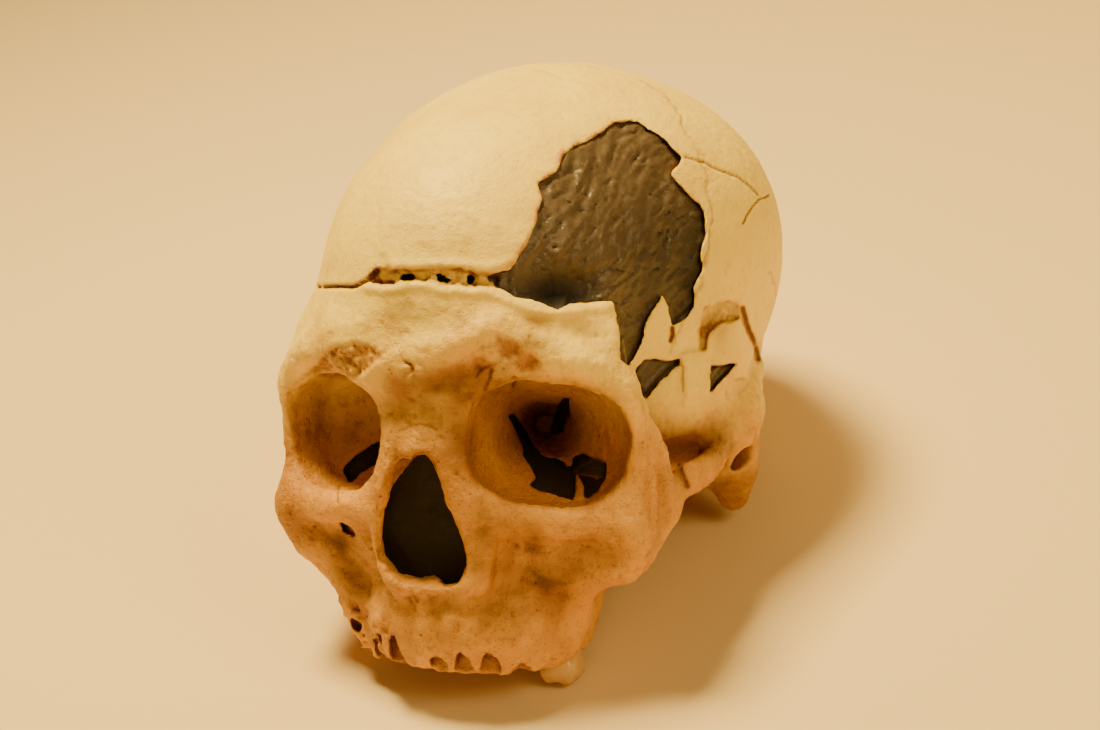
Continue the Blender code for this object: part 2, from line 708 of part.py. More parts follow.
def fit_nose_fill(skull):
    """The resin that backs the nose opening, in its own pocket."""
    pocket = front_solid(NOSE_OUTLINE, (-NOSE_FILL_FRONT - 3, -NOSE_DEPTH), NOSE_POCKET_MARGIN)
    combine(skull, pocket, "DIFFERENCE")
    removed(pocket)
    span = (-NOSE_FILL_FRONT, -NOSE_DEPTH)
    fill = front_solid(NOSE_OUTLINE, span, NOSE_POCKET_MARGIN - GAP)
    fill.name = "fill_nose"
    return fill


def tooth_cone(name, foot, height, radii, rounding):
    """A tapered round solid that stands on its foot, with that edge rounded."""
    shell = bmesh.new()
    bmesh.ops.create_cone(
        shell, cap_ends=True, segments=TOOTH_SEGMENTS, radius1=radii[0] * MM, radius2=radii[1] * MM,
        depth=height * MM,
    )
    rim = [edge for edge in shell.edges if all(point.co.z < 0 for point in edge.verts)]
    if rounding:
        bmesh.ops.bevel(
            shell, geom=rim, offset=rounding * MM, offset_type="OFFSET", segments=3, profile=0.5,
            affect="EDGES",
        )
    shell.transform(Matrix.Translation((Vector(foot) + Vector((0, 0, height / 2))) * MM))
    mesh = bpy.data.meshes.new(name)
    shell.to_mesh(mesh)
    shell.free()
    return placed(name, mesh)


def tooth_solid(name, grow):
    """The one tooth left: a crown that narrows to its neck, and the root that it stands on."""
    foot = (TOOTH_FOOT[0], TOOTH_FOOT[1], TOOTH_FOOT[2] - grow)
    radii = (TOOTH_CROWN_RADIUS + grow, TOOTH_NECK_RADIUS + grow)
    tooth = tooth_cone(name, foot, TOOTH_CROWN_DEPTH + grow, radii, TOOTH_CROWN_ROUNDING)
    neck = (TOOTH_FOOT[0], TOOTH_FOOT[1], TOOTH_FOOT[2] + TOOTH_CROWN_DEPTH / 2)
    radii = (TOOTH_NECK_RADIUS - GAP + grow, TOOTH_TIP_RADIUS + grow)
    length = TOOTH_CROWN_DEPTH / 2 + TOOTH_ROOT_LENGTH + grow
    root = tooth_cone("root", neck, length, radii, 0)
    combine(tooth, root, "UNION")
    removed(root)
    return tooth


def fit_tooth(skull):
    socket = tooth_solid("socket", GAP)
    combine(skull, socket, "DIFFERENCE")
    removed(socket)
    return tooth_solid("molar_left", 0.0)


def rest_matrix():
    """From the skull's own frame, in metres, to where it lies with the floor at z = 0."""
    turn = Matrix.Rotation(-REST_TILT, 4, "X")
    return Matrix.Translation(Vector((REST_SHIFT[0], REST_SHIFT[1], -REST_HEIGHT)) * MM) @ turn


def floor_block():
    """Everything under the plane that the skull rests on."""
    reach = 160.0
    top = [(-reach, -reach, 0), (reach, -reach, 0), (reach, reach, 0), (-reach, reach, 0)]
    block = loft("floor", top, [(x, y, -reach) for x, y, _ in top])
    block.data.transform(rest_matrix().inverted())
    return block


def material(name, colour, roughness):
    made = bpy.data.materials.new(name)
    made.use_nodes = True
    shader = made.node_tree.nodes["Principled BSDF"]
    shader.inputs["Base Color"].default_value = (*colour, 1.0)
    shader.inputs["Roughness"].default_value = roughness
    made.diffuse_color = (*colour, 1.0)
    return made


def finish_node(obj, collection, colour, roughness):
    obj.data.materials.clear()
    obj.data.materials.append(material(obj.name, colour, roughness))
    obj.data.transform(rest_matrix())
    obj.data.shade_smooth()
    obj.data.set_sharp_from_angle(angle=SHARP_ANGLE)
    bpy.context.scene.collection.objects.unlink(obj)
    collection.objects.link(obj)


def main():
    for obj in list(bpy.data.objects):
        bpy.data.objects.remove(obj)
    clay = shape_skull(GRID)
    skull = clay_mesh("skull", clay, 0.0, BONE_TRIANGLES)
    fills = fit_fills(skull, clay)
    fills.append(fit_nose_fill(skull))
    tooth = fit_tooth(skull)
    floor = floor_block()
    combine(skull, floor, "DIFFERENCE")
    combine(tooth, floor, "DIFFERENCE")
    removed(floor)
    bones = part_bones(skull)
    collection = bpy.data.collections.new("fossil skull")
    bpy.context.scene.collection.children.link(collection)
    for obj in bones:
        finish_node(obj, collection, BONE_COLOURS.get(obj.name, BONE_COLOUR), BONE_ROUGHNESS)
    finish_node(tooth, collection, TOOTH_COLOUR, TOOTH_ROUGHNESS)
    for obj in fills:
        finish_node(obj, collection, RESIN_COLOUR, RESIN_ROUGHNESS)


if __name__ == "__main__":
    main()
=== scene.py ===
"""The looks of the fossil human skull, around its solids.

The bone is shaped as a block of distances in millimetres, in the skull's own frame: x to its left,
y to its back, z up, with the ear holes and the lower rims of the orbits at z = 0. Marks on it are
placed on a picture plane, along the camera's lines of sight. It is meshed whole, roughened, parted
along its sutures and breaks, and laid on the plane that the skull rests on.
"""

import math

import bmesh
import bpy
import numpy as np
import openvdb
from mathutils import Matrix, Vector


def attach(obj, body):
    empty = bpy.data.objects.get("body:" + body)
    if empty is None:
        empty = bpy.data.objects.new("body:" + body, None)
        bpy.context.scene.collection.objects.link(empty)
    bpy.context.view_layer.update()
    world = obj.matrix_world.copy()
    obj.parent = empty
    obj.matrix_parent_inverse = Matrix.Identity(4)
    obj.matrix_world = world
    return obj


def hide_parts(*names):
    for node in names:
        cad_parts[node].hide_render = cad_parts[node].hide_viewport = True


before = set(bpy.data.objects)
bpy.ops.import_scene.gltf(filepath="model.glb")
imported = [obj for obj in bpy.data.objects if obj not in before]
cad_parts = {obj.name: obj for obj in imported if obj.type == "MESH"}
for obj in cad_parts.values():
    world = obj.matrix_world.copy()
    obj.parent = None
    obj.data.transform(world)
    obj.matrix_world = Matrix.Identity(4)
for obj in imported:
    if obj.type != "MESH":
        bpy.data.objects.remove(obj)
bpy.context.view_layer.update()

MM = 0.001
STEP = 0.6
BLOCK_LOW = (0.0, -104.0, -66.0)
BLOCK_HIGH = (76.0, 98.0, 120.0)
VAULT_HALF_WIDTH = 64.5
VAULT_HALF_LENGTH = 82.5
VAULT_HALF_HEIGHT = 64.5

# The orbit is a cone from its apex to its mouth
ORBIT_APEX = np.array([14.0, -38.0, 11.0])
ORBIT_MOUTH = np.array([32.3, -76.5, 15.2])
ORBIT_SLOPE = math.radians(9.0)
ORBIT_KNOTS = (-8, 0, 10, 22, 33, 41, 44, 60)
ORBIT_HALF_WIDTHS = (1, 3.5, 9.0, 15.5, 20.5, 21.6, 21.3, 22.5)
ORBIT_HALF_HEIGHTS = (1, 3.5, 8.0, 13.5, 17.2, 17.3, 16.4, 17.0)
ORBIT_SQUARENESS = 2.7

# The photograph's line of sight, in the skull's frame, and its picture plane's distance
SIGHT_EYE = np.array([249.4, -548.5, 134.9])
SIGHT_RIGHT = np.array([0.9125, 0.4064, -0.0472])
SIGHT_UP = np.array([-0.0333, 0.1887, 0.9815])
SIGHT_BACK = np.array([0.4078, -0.8940, 0.1858])
SIGHT_DISTANCE = 592.7
SIGHT_LENS = 65.0

# How the skull lies
REST_TILT = math.radians(19.4)
REST_HEIGHT = 33.6
REST_SHIFT = -3.915

LOOK = "_look"
EMPTY = 30.0
POCKET_DEPTH = 9.0
HOLE_DEPTH = 5.0
FORAMEN_DEPTH = 2.2
NOSE_DEPTH = 66.0
NOSE_MIDDLE = -3.4
NOSE_TOP = 12.5
NOSE_FLOOR = -23.3
RESIN_FRONT = -79.0
MOLAR_FOOT = (26.8, -62.0, -57.0)
MOLAR_HEIGHT = 9.0

# Spans along the line of sight that marks are swept through
NOSE_SPAN = (480.0, 560.0)
FACE_SPAN = (480.0, 600.0)
CHEEK_SPAN = (520.0, 600.0)
SIDE_SPAN = (540.0, 640.0)
FARTHEST_MARK = 640

# Starts of the random draws
NOSE_SEED = 5
HOLE_SEED = 20
FORAMEN_SEED = 24
FILL_SEED = 40
CRACK_SEED = 60
WORN_SEED = 90

TEMPLE_OUTLINE = [
    (-18.8, 26.3), (-12.8, 28.6), (-8.4, 33.7), (-4.5, 40.6), (-2.4, 49.5), (-3.3, 54.3), (2.5, 58.5),
    (4.0, 63.3), (9.0, 66.2), (15.5, 69.2), (20.0, 72.2), (26.3, 72.9), (30.1, 70.3), (34.3, 67.3),
    (37.6, 63.9), (39.7, 62.1), (38.8, 60.3), (36.1, 57.0), (38.2, 54.3), (42.1, 50.4), (46.0, 45.7),
    (46.0, 37.6), (45.1, 32.5), (45.4, 27.7), (43.6, 23.9), (43.1, 17.9), (40.6, 14.3), (36.1, 12.1),
    (35.2, 17.9), (33.1, 21.2), (29.8, 14.9), (28.3, 9.8), (26.3, 5.1), (23.9, -0.9), (21.2, 2.1),
    (20.3, 8.1), (20.3, 14.9), (18.4, 19.4), (11.3, 18.2), (6.0, 17.9), (2.1, 16.1), (-4.5, 18.8),
    (-10.7, 20.3), (-15.2, 23.3), (-18.8, 24.2),
]
FRONT_WINDOW_OUTLINE = [
    (25.1, -1.5), (28.3, 1.5), (34.0, 1.2), (39.1, 2.4), (38.8, 0.0), (36.4, -1.5), (33.1, -4.8),
    (29.8, -9.0), (28.3, -10.1), (26.3, -6.6),
]
REAR_WINDOW_OUTLINE = [(47.1, -0.3), (55.8, 0.6), (52.8, -3.0), (48.3, -8.1), (43.9, -7.2)]
LEFT_ORBIT_OUTLINE = [
    (-12.5, -14.9), (-11.0, -14.3), (-7.5, -18.8), (-5.1, -23.3), (-2.1, -27.2), (1.8, -28.0),
    (6.3, -30.1), (6.9, -27.2), (10.1, -26.6), (16.7, -29.2), (16.7, -33.7), (14.6, -38.2),
    (11.6, -40.0), (10.1, -39.4), (10.1, -36.1), (7.8, -32.5), (7.8, -37.0), (6.9, -40.9),
    (3.9, -40.0), (0.9, -38.5), (-3.3, -38.2), (-6.6, -36.1), (-4.8, -34.0), (-6.3, -30.7),
    (-8.4, -27.2), (-8.7, -23.3),
]
LEFT_ORBIT_SLIT_OUTLINE = [
    (3.6, -9.5), (6.3, -9.5), (5.4, -13.7), (4.2, -20.6), (0.3, -20.3), (0.9, -16.7), (2.4, -14.3),
]
RIGHT_ORBIT_OUTLINE = [
    (-61.5, -32.2), (-60.0, -34.9), (-58.8, -35.2), (-56.4, -32.2), (-51.6, -29.8), (-46.5, -26.0),
    (-46.5, -23.6), (-50.1, -23.0), (-54.3, -24.5), (-57.6, -26.9), (-60.9, -30.7),
]
NOSE_OUTLINE = [
    (-37.0, -26.3), (-34.6, -28.9), (-32.2, -37.3), (-29.2, -46.2), (-26.6, -53.7), (-25.8, -61.8),
    (-27.5, -65.0), (-31.3, -65.6), (-34.5, -62.4), (-38.8, -63.6), (-45.4, -62.1), (-48.9, -56.7),
    (-50.0, -50.7), (-49.5, -43.3), (-47.1, -35.8), (-43.3, -30.7), (-40.0, -26.9),
]

CHANNEL_OUTLINE = [
    (-53.4, 26.3), (-51.9, 28.3), (-49.2, 28.9), (-46.8, 28.2), (-44.9, 28.6), (-40.0, 28.4),
    (-35.0, 28.6), (-30.1, 28.9), (-25.1, 28.4), (-20.2, 27.2), (-15.0, 26.6), (-15.5, 23.3),
    (-22.7, 23.2), (-26.1, 23.5), (-28.6, 24.0), (-31.0, 23.3), (-33.5, 24.2), (-36.1, 24.9),
    (-40.0, 25.3), (-43.9, 24.7), (-46.8, 24.0), (-49.8, 24.0), (-52.5, 24.5),
]
BREAK_HOLES = [
    [(-44.9, 25.8), (-43.5, 27.1), (-41.5, 27.5), (-39.7, 26.9), (-40.2, 25.6), (-42.1, 25.1),
     (-44.1, 25.0)],
    [(-35.2, 27.2), (-33.4, 27.7), (-31.3, 27.1), (-29.4, 25.9), (-30.2, 24.4), (-32.5, 24.7),
     (-34.5, 25.5)],
    [(-25.0, 26.8), (-23.6, 27.2), (-22.2, 26.5), (-22.5, 25.4), (-23.2, 23.9), (-24.8, 24.2)],
]
LOWER_LIP = [
    (-54.3, 23.0), (-49.8, 22.4), (-46.8, 22.4), (-43.9, 23.1), (-40.0, 23.7), (-36.1, 23.4),
    (-33.5, 22.6), (-31.0, 21.7), (-28.6, 22.4), (-26.1, 21.9), (-22.7, 21.6), (-19.1, 21.6),
    (-14.9, 20.0), (-9.0, 17.3), (-4.2, 15.8), (2.5, 15.4), (11.3, 16.4), (17.0, 17.0),
]
UPPER_LIP = [(-47.0, 29.8), (-44.9, 30.0), (-35.0, 30.1), (-25.1, 30.0), (-19.0, 29.2), (-14.0, 30.2)]
FORAMEN_OUTLINE = [
    (-62.8, -46.5), (-60.9, -47.0), (-58.7, -48.6), (-57.3, -51.3), (-59.1, -51.1), (-61.6, -49.5),
]
PLATE_OUTLINE = [
    (38.5, 2.4), (40.6, 3.7), (42.8, 3.9), (46.5, 4.5), (46.6, 8.1), (47.7, 10.3), (50.1, 12.2),
    (51.9, 13.1), (54.2, 12.8), (57.0, 14.4), (58.2, 12.8), (59.4, 8.1), (60.6, 3.9), (59.1, -4.1),
    (52.8, -3.9), (47.4, -8.3), (44.8, -9.5), (39.7, -9.8), (39.7, -0.3),
]
VALLEY_OUTLINE = [
    (45.7, 17.0), (48.3, 17.6), (51.9, 19.4), (56.1, 18.2), (57.0, 14.4), (54.2, 13.1), (51.9, 13.1),
    (50.1, 12.2), (47.7, 10.3), (46.6, 8.1), (46.0, 4.8), (45.1, 6.0), (44.8, 10.4),
]

# Lines on the picture plane: path, unevenness, width, depth and darkness
CRACKS = [
    ([(-69.8, 24.3), (-66.7, 23.2), (-63.3, 23.2), (-59.7, 23.0), (-57.3, 24.0), (-54.8, 25.2),
      (-53.0, 26.6), (-51.5, 27.9)], 0.9, 0.6, 1.3, 0.8),
    ([(-53.3, 25.1), (-49.8, 24.2), (-46.8, 24.5)], 0.8, 0.6, 1.0, 0.7),
    ([(57.4, 17.0), (58.8, 12.1), (60.2, 8.1), (61.5, 4.4), (62.2, 1.6)], 0.4, 0.8, 1.1, 0.9),
    ([(39.8, -0.2), (39.5, -3.9), (39.8, -7.8)], 0.3, 0.5, 0.4, 0.35),
    ([(36.2, 11.0), (36.6, 9.0), (36.0, 7.2)], 0.3, 0.7, 0.9, 0.9),
    ([(40.9, 62.1), (46.3, 60.3), (51.3, 57.9), (56.1, 55.8), (60.3, 53.1),
     (61.8, 51.3)], 0.8, 0.4, 0.5, 0.55),
    ([(65.1, 50.4), (62.1, 49.2), (60.9, 47.1), (59.1, 44.5), (57.9, 42.1)], 0.8, 0.4, 0.5, 0.6),
    ([(38.7, -29.5), (39.4, -31.3), (40.5, -34.0), (41.2, -36.1)], 0.5, 0.8, 1.0, 0.8),
    ([(-51.6, 50.4), (-51.3, 44.8), (-51.6, 39.7), (-50.7, 35.2)], 0.5, 0.45, 0.15, 0.18),
    ([(-4.3, 88.1), (-1.5, 87.4), (1.5, 86.2), (3.9, 85.0)], 0.3, 0.5, 0.3, 0.25),
    ([(-62.7, -36.1), (-63.3, -38.8), (-63.0, -41.2)], 0.4, 0.5, 0.4, 0.4),
    ([(-44.8, -19.7), (-42.4, -18.2), (-39.4, -17.8), (-36.4, -18.2),
     (-34.0, -19.4)], 0.4, 0.6, 0.4, 0.3),
    ([(-11.0, -6.3), (-10.5, -4.4)], 0.1, 0.6, 0.9, 0.7),
    ([(-19.4, -7.0), (-18.4, -4.6), (-17.3, -1.7)], 0.4, 0.7, 0.7, 0.8),
    ([(-22.0, -3.6), (-20.6, -1.6), (-18.4, -0.6)], 0.4, 0.6, 0.6, 0.7),
    ([(-43.4, 0.7), (-41.8, 0.2), (-41.0, -1.4)], 0.4, 0.7, 0.8, 0.6),
]

# Worn ground on the picture plane: outline, depth, roughness and redness
WORN = [
    ([(-71.6, -2.7), (-67.1, 3.7), (-62.7, 6.1), (-58.8, 6.9), (-52.8, 5.7), (-49.8, 3.7), (-52.8, 0.7),
      (-57.3, -3.8), (-60.8, -4.8), (-66.7, -3.3)], 1.0, 0.8, 1.0),
    ([(-16.2, 8.7), (-13.2, 8.1), (-8.8, 5.7), (-2.8, 0.7), (-3.3, -1.8), (-8.4, -2.7), (-12.2, 0.7),
      (-15.8, 3.7)], 0.9, 0.7, 1.0),
    ([(-23.1, 2.7), (-19.7, 2.7), (-15.8, 0.7), (-17.7, -1.8), (-19.7, -6.7),
     (-22.7, -4.2)], 0.6, 0.5, 0.9),
    ([(-52.5, 30.1), (-51.3, 32.5), (-49.5, 32.8), (-48.0, 30.7), (-48.3, 28.3),
     (-51.0, 27.8)], 0.5, 0.8, 0.5),
    ([(-46.0, 0.9), (-43.3, 3.0), (-38.8, 2.1), (-37.6, -1.5), (-40.6, -3.9),
     (-44.8, -3.3)], 0.3, 0.6, 0.3),
    ([(-45.0, -28.3), (-43.0, -26.6), (-37.5, -26.2), (-37.0, -30.0), (-40.0, -32.0), (-43.0, -31.0)],
     0.2, 0.7, 0.5),
    ([(-43.5, -68.5), (-41.0, -67.8), (-39.5, -69.5), (-40.5, -72.2), (-43.0, -71.8)], 0.5, 0.8, 0.4),
    ([(-8.0, -52.3), (-4.5, -52.0), (-2.5, -55.0), (-4.5, -58.0), (-7.5, -56.5)], 0.3, 0.6, 0.5),
    (VALLEY_OUTLINE, 0.8, 0.8, 0.5),
    (CHANNEL_OUTLINE, 0.0, 1.0, 0.55),
]

# Low ridges and hollows on the picture plane: centre, radii, turn in degrees and height
RELIEF = [
    ((-44.2, 3.9), (12.0, 4.0), 25, 1.1), ((-46.5, -8.1), (4.5, 8.5), 0, -1.3),
    ((-25.4, 8.0), (14.0, 3.8), 28, 1.3), ((-30.0, -4.0), (10.0, 4.2), 15, -1.9),
    ((-5.1, 13.4), (6.0, 2.6), -35, -1.1), ((9.0, 10.1), (6.0, 3.0), -30, -1.0),
    ((-56.0, 13.0), (7.0, 5.0), 10, 0.6), ((-61.0, -41.5), (6.0, 2.4), -25, 0.9),
    ((-57.0, -46.5), (2.2, 5.0), 0, 0.8), ((-52.0, -42.0), (2.4, 6.0), 10, -0.8),
    ((-46.5, -66.0), (2.4, 9.0), 8, 0.9), ((-35.5, -71.5), (9.0, 3.4), 5, -0.9),
    ((-38.5, -79.0), (2.2, 5.0), 5, 0.8), ((-30.5, -80.0), (2.0, 4.5), 0, 0.8),
    ((-24.0, -79.5), (2.2, 5.5), -5, 0.9), ((-10.0, -77.0), (4.5, 6.0), -10, 0.8),
    ((2.0, -73.0), (3.0, 7.0), -15, -0.9), ((-14.0, -69.0), (8.0, 3.0), -20, 0.7),
]

# Stains on the picture plane, and painted shade under the brow ridges and in shallow hollows of the
# forehead: centre, radii and strength
STAINS_AND_SHADE = [
    ((-3.0, -64.8), (6.2, 5.4), 1.0), ((-5.1, -54.5), (3.6, 4.2), 0.55),
    ((6.5, -60.0), (6.0, 7.0), 0.35), ((-59.7, -60.0), (5.5, 10.0), 0.6),
    ((-63.0, -52.0), (6.0, 3.5), 0.45), ((-20.3, -49.2), (3.2, 9.0), 0.45),
    ((-31.5, -72.0), (10.0, 4.5), 0.35), ((-47.0, -64.0), (2.6, 9.0), 0.35),
    ((-28.0, -6.5), (13.0, 5.5), 0.5), ((-13.5, -4.0), (7.0, 4.0), 0.4),
    ((-44.8, 17.0), (11.0, 5.5), 0.3), ((-30.0, 14.0), (8.0, 4.5), 0.25),
    ((54.6, -38.8), (7.0, 7.0), 0.25), ((50.0, 12.0), (5.0, 7.0), 0.35),
    ((50.5, -22.0), (6.0, 7.0), 0.45), ((-33.5, 38.0), (16.0, 6.0), 0.22),
    ((-5.0, 6.8), (4.0, 2.2), 0.35), ((-4.0, 13.4), (4.2, 2.4), 0.3),
    ((-14.0, -75.0), (9.0, 7.0), 0.3), ((-26.0, -21.0), (5.0, 10.0), 0.45),
    ((-38.8, -10.5), (9.0, 6.0), 0.35), ((-66.0, -19.5), (9.0, 10.0), 0.4),
    ((-12.0, -48.0), (9.0, 4.0), 0.3), ((-18.0, -60.0), (6.0, 5.0), 0.25),
    ((-33.0, -80.5), (14.0, 3.0), 0.2),
]


# Clay: a block of distances that forms are added to and cut from

class Clay:
    """Signed distances in millimetres, negative inside the bone, on a regular grid."""

    def __init__(self, low, high, step):
        self.step = step
        self.axes = [np.arange(a, b + step / 2, step, dtype=np.float32) for a, b in zip(low, high)]
        self.distance = np.full([len(axis) for axis in self.axes], EMPTY, np.float32)

    @classmethod
    def of(cls, step, axes, distance):
        """Clay from a grid and distances that are there already."""
        clay = cls.__new__(cls)
        clay.step, clay.axes, clay.distance = step, axes, distance
        return clay

    def window(self, low, high, margin):
        """The part of the grid within margin of a box, and its coordinates."""
        spans = []
        for axis, start, end in zip(self.axes, low, high):
            first = int(np.searchsorted(axis, start - margin)) - 1
            last = int(np.searchsorted(axis, end + margin)) + 1
            spans.append(slice(max(first, 0), max(last, 1)))
        x, y, z = (axis[span] for axis, span in zip(self.axes, spans))
        return tuple(spans), (x[:, None, None], y[None, :, None], z[None, None, :])

    def blend(self, form, softness, sign):
        for low, high, measure in form:
            spans, place = self.window(low, high, softness + 5)
            held = self.distance[spans]
            if held.size:
                self.distance[spans] = sign * smooth_minimum(sign * held, measure(*place), softness)

    def add(self, form, softness):
        self.blend(form, softness, 1)

    def cut(self, form, softness):
        self.blend(form, softness, -1)

    def swell(self, centre, size, height):
        """Raises the surface round centre by height, or sinks it where height is negative."""
        centre = np.array(centre, float)
        reach = np.array(size, float) * 2.6
        spans, (x, y, z) = self.window(centre - reach, centre + reach, 0)
        spread = ((x - centre[0]) / size[0])**2 + ((y - centre[1]) / size[1])**2
        spread = spread + ((z - centre[2]) / size[2])**2
        self.distance[spans] -= height * np.exp(-spread)

    def mirrored(self):
        """The whole block from its left half, which starts at x = 0."""
        axes = [np.concatenate([-self.axes[0][:0:-1], self.axes[0]]), self.axes[1], self.axes[2]]
        return Clay.of(self.step, axes, np.concatenate([self.distance[:0:-1], self.distance]))

    def part(self, low, high):
        """A copy of the block within a box."""
        spans, _ = self.window(low, high, 0)
        axes = [axis[span] for axis, span in zip(self.axes, spans)]
        return Clay.of(self.step, axes, self.distance[spans].copy())

    def at(self, points):
        """The distance at each point, read between the grid's own points."""
        low = np.array([axis[0] for axis in self.axes])
        place = (np.asarray(points) - low) / self.step
        place = np.clip(place, 0, np.array(self.distance.shape) - 1.001)
        cells = place.astype(np.int32)
        return between(self.distance, cells.T, (place - cells).astype(np.float32).T)

    def outward(self, points):
        """The direction in which the distance grows at each point."""
        slopes = []
        for axis in np.eye(3) * 0.7:
            slopes.append(self.at(points + axis) - self.at(points - axis))
        slopes = np.stack(slopes, axis=1)
        return slopes / (np.linalg.norm(slopes, axis=1)[:, None] + 1e-6)


def between(table, cells, parts):
    """What a block holds between its own points, wrapped round at its ends."""
    total = 0
    for corner in np.ndindex(2, 2, 2):
        weight = 1
        for part, step in zip(parts, corner):
            weight = weight * (part if step else 1 - part)
        a, b, c = ((cell + step) % size for cell, step, size in zip(cells, corner, table.shape))
        total = total + weight * table[a, b, c]
    return total


def smooth_minimum(a, b, softness):
    if softness <= 0:
        return np.minimum(a, b)
    overlap = np.maximum(softness - np.abs(a - b), 0) / softness
    return np.minimum(a, b) - overlap * overlap * softness / 4


def along_axis(u, v, w, axis):
    return u * axis[0] + v * axis[1] + w * axis[2]


def ellipsoid(centre, radii, turn=0.0):
    """An ellipsoid, turned about z by turn degrees."""
    centre = np.array(centre, float)
    radii = np.array(radii, float)
    cosine, sine = math.cos(math.radians(turn)), math.sin(math.radians(turn))
    reach = radii if turn == 0 else np.full(3, radii.max())

    def measure(x, y, z):
        u, v, w = x - centre[0], y - centre[1], z - centre[2]
        u, v = cosine * u + sine * v, cosine * v - sine * u
        u, v, w = u / radii[0], v / radii[1], w / radii[2]
        scaled = np.sqrt(u * u + v * v + w * w)
        slope = np.sqrt((u / radii[0])**2 + (v / radii[1])**2 + (w / radii[2])**2) + 1e-6
        return (scaled * (scaled - 1) / slope).astype(np.float32)

    return [(centre - reach, centre + reach, measure)]


def smooth_path(points, spans):
    """Points along a curve through the rows given, with that many spans between two of them."""
    rows = np.array(points, float)
    rows = np.vstack([2 * rows[0] - rows[1], rows, 2 * rows[-1] - rows[-2]])
    path = []
    for before, start, end, after in zip(rows, rows[1:], rows[2:], rows[3:]):
        for t in np.arange(spans) / spans:
            bend = (2 * before - 5 * start + 4 * end - after) * t * t
            twist = (3 * start - before - 3 * end + after) * t**3
            path.append(0.5 * (2 * start + (end - before) * t + bend + twist))
    path.append(rows[-2])
    return np.array(path)


def rod(start, end, radii, flat_axis=None, flatness=1.0):
    """A tapered rod. flatness above 1 makes it thinner along flat_axis."""
    start, end = np.array(start, float), np.array(end, float)
    along = end - start
    if flat_axis is not None:
        flat_axis = np.array(flat_axis, float) / np.linalg.norm(flat_axis)
        along = along + (along @ flat_axis) * (flatness - 1) * flat_axis
    length_squared = float(along @ along)

    def measure(x, y, z):
        u, v, w = x - start[0], y - start[1], z - start[2]
        if flat_axis is not None:
            across = along_axis(u, v, w, flat_axis) * (flatness - 1)
            u, v, w = u + across * flat_axis[0], v + across * flat_axis[1], w + across * flat_axis[2]
        t = np.clip(along_axis(u, v, w, along) / length_squared, 0, 1)
        spread = (u - t * along[0])**2 + (v - t * along[1])**2 + (w - t * along[2])**2
        distance = np.sqrt(spread) - (radii[0] + (radii[1] - radii[0]) * t)
        return (distance / flatness).astype(np.float32)

    margin = max(radii)
    return [(np.minimum(start, end) - margin, np.maximum(start, end) + margin, measure)]


def bar(rows, flat_axis=None, flatness=1.0):
    """A bent bar through rows of x, y, z and radius."""
    path = smooth_path(rows, 3)
    rods = [rod(a[:3], b[:3], (a[3], b[3]), flat_axis, flatness)[0] for a, b in zip(path, path[1:])]

    def measure(x, y, z):
        distance = rods[0][2](x, y, z)
        for piece in rods[1:]:
            distance = np.minimum(distance, piece[2](x, y, z))
        return distance

    low = np.min([piece[0] for piece in rods], axis=0)
    high = np.max([piece[1] for piece in rods], axis=0)
    return [(low, high, measure)]


def orbit(wall, reach):
    """The orbit's hollow, or with a wall of that thickness its outside, reach past its mouth."""
    axis = ORBIT_MOUTH - ORBIT_APEX
    length = np.linalg.norm(axis)
    axis = axis / length
    side = np.cross(axis, [0, 0, 1.0])
    side = side / np.linalg.norm(side) * math.copysign(1, side[0])
    up = np.cross(side, axis)
    up = up * math.copysign(1, up[2])
    cosine, sine = math.cos(ORBIT_SLOPE), math.sin(ORBIT_SLOPE)
    side, up = cosine * side - sine * up, sine * side + cosine * up

    def measure(x, y, z):
        u, v, w = x - ORBIT_APEX[0], y - ORBIT_APEX[1], z - ORBIT_APEX[2]
        depth = along_axis(u, v, w, axis)
        wide = np.interp(depth, ORBIT_KNOTS, ORBIT_HALF_WIDTHS) + wall
        high = np.interp(depth, ORBIT_KNOTS, ORBIT_HALF_HEIGHTS) + wall
        across = np.abs(along_axis(u, v, w, side) / wide)**ORBIT_SQUARENESS
        upward = np.abs(along_axis(u, v, w, up) / high)**ORBIT_SQUARENESS
        distance = ((across + upward)**(1 / ORBIT_SQUARENESS) - 1) * np.minimum(wide, high)
        distance = np.maximum(distance, depth - (length + reach))
        return np.maximum(distance, -depth - 3).astype(np.float32)

    far = ORBIT_MOUTH + 12 * axis
    return [(np.minimum(ORBIT_APEX, far) - 24, np.maximum(ORBIT_APEX, far) + 24, measure)]


# The skull's forms, each on its left side

def shape_braincase(clay):
    clay.add(ellipsoid((0, 8, 48.5), (VAULT_HALF_WIDTH, VAULT_HALF_LENGTH, VAULT_HALF_HEIGHT)), 0)
    clay.add(ellipsoid((0, -41, 51.5), (45.5, 49.5, 48)), 16)
    clay.add(ellipsoid((26.5, 14, 59), (38, 43, 39.5)), 14)
    clay.add(ellipsoid((0, 50, 30), (46, 39, 40)), 16)
    clay.add(ellipsoid((23, 40, 2), (27, 28, 21)), 16)
    clay.add(ellipsoid((34, -12, 14), (25, 36, 23)), 12)


def shape_base(clay):
    clay.add(ellipsoid((0, -8, -12), (15, 26, 10)), 8)
    clay.add(ellipsoid((0, -36, 2), (17, 16, 16)), 8)
    clay.add(bar([(47, 2, -8, 7), (32, -8, -12, 7), (17, -16, -14, 6)]), 6)
    clay.add(ellipsoid((17, 8, -24), (5.5, 11, 6.5), -22), 4)
    clay.add(bar([(17, -38, -6, 4), (20, -36, -22, 3.4), (24, -33, -36, 2.6)], (1, 0.35, 0), 1.5), 4)
    clay.add(bar([(12, -37, -6, 4), (12.5, -35, -22, 2.8), (13, -33, -36, 2.2)], (1, -0.1, 0), 1.3), 4)


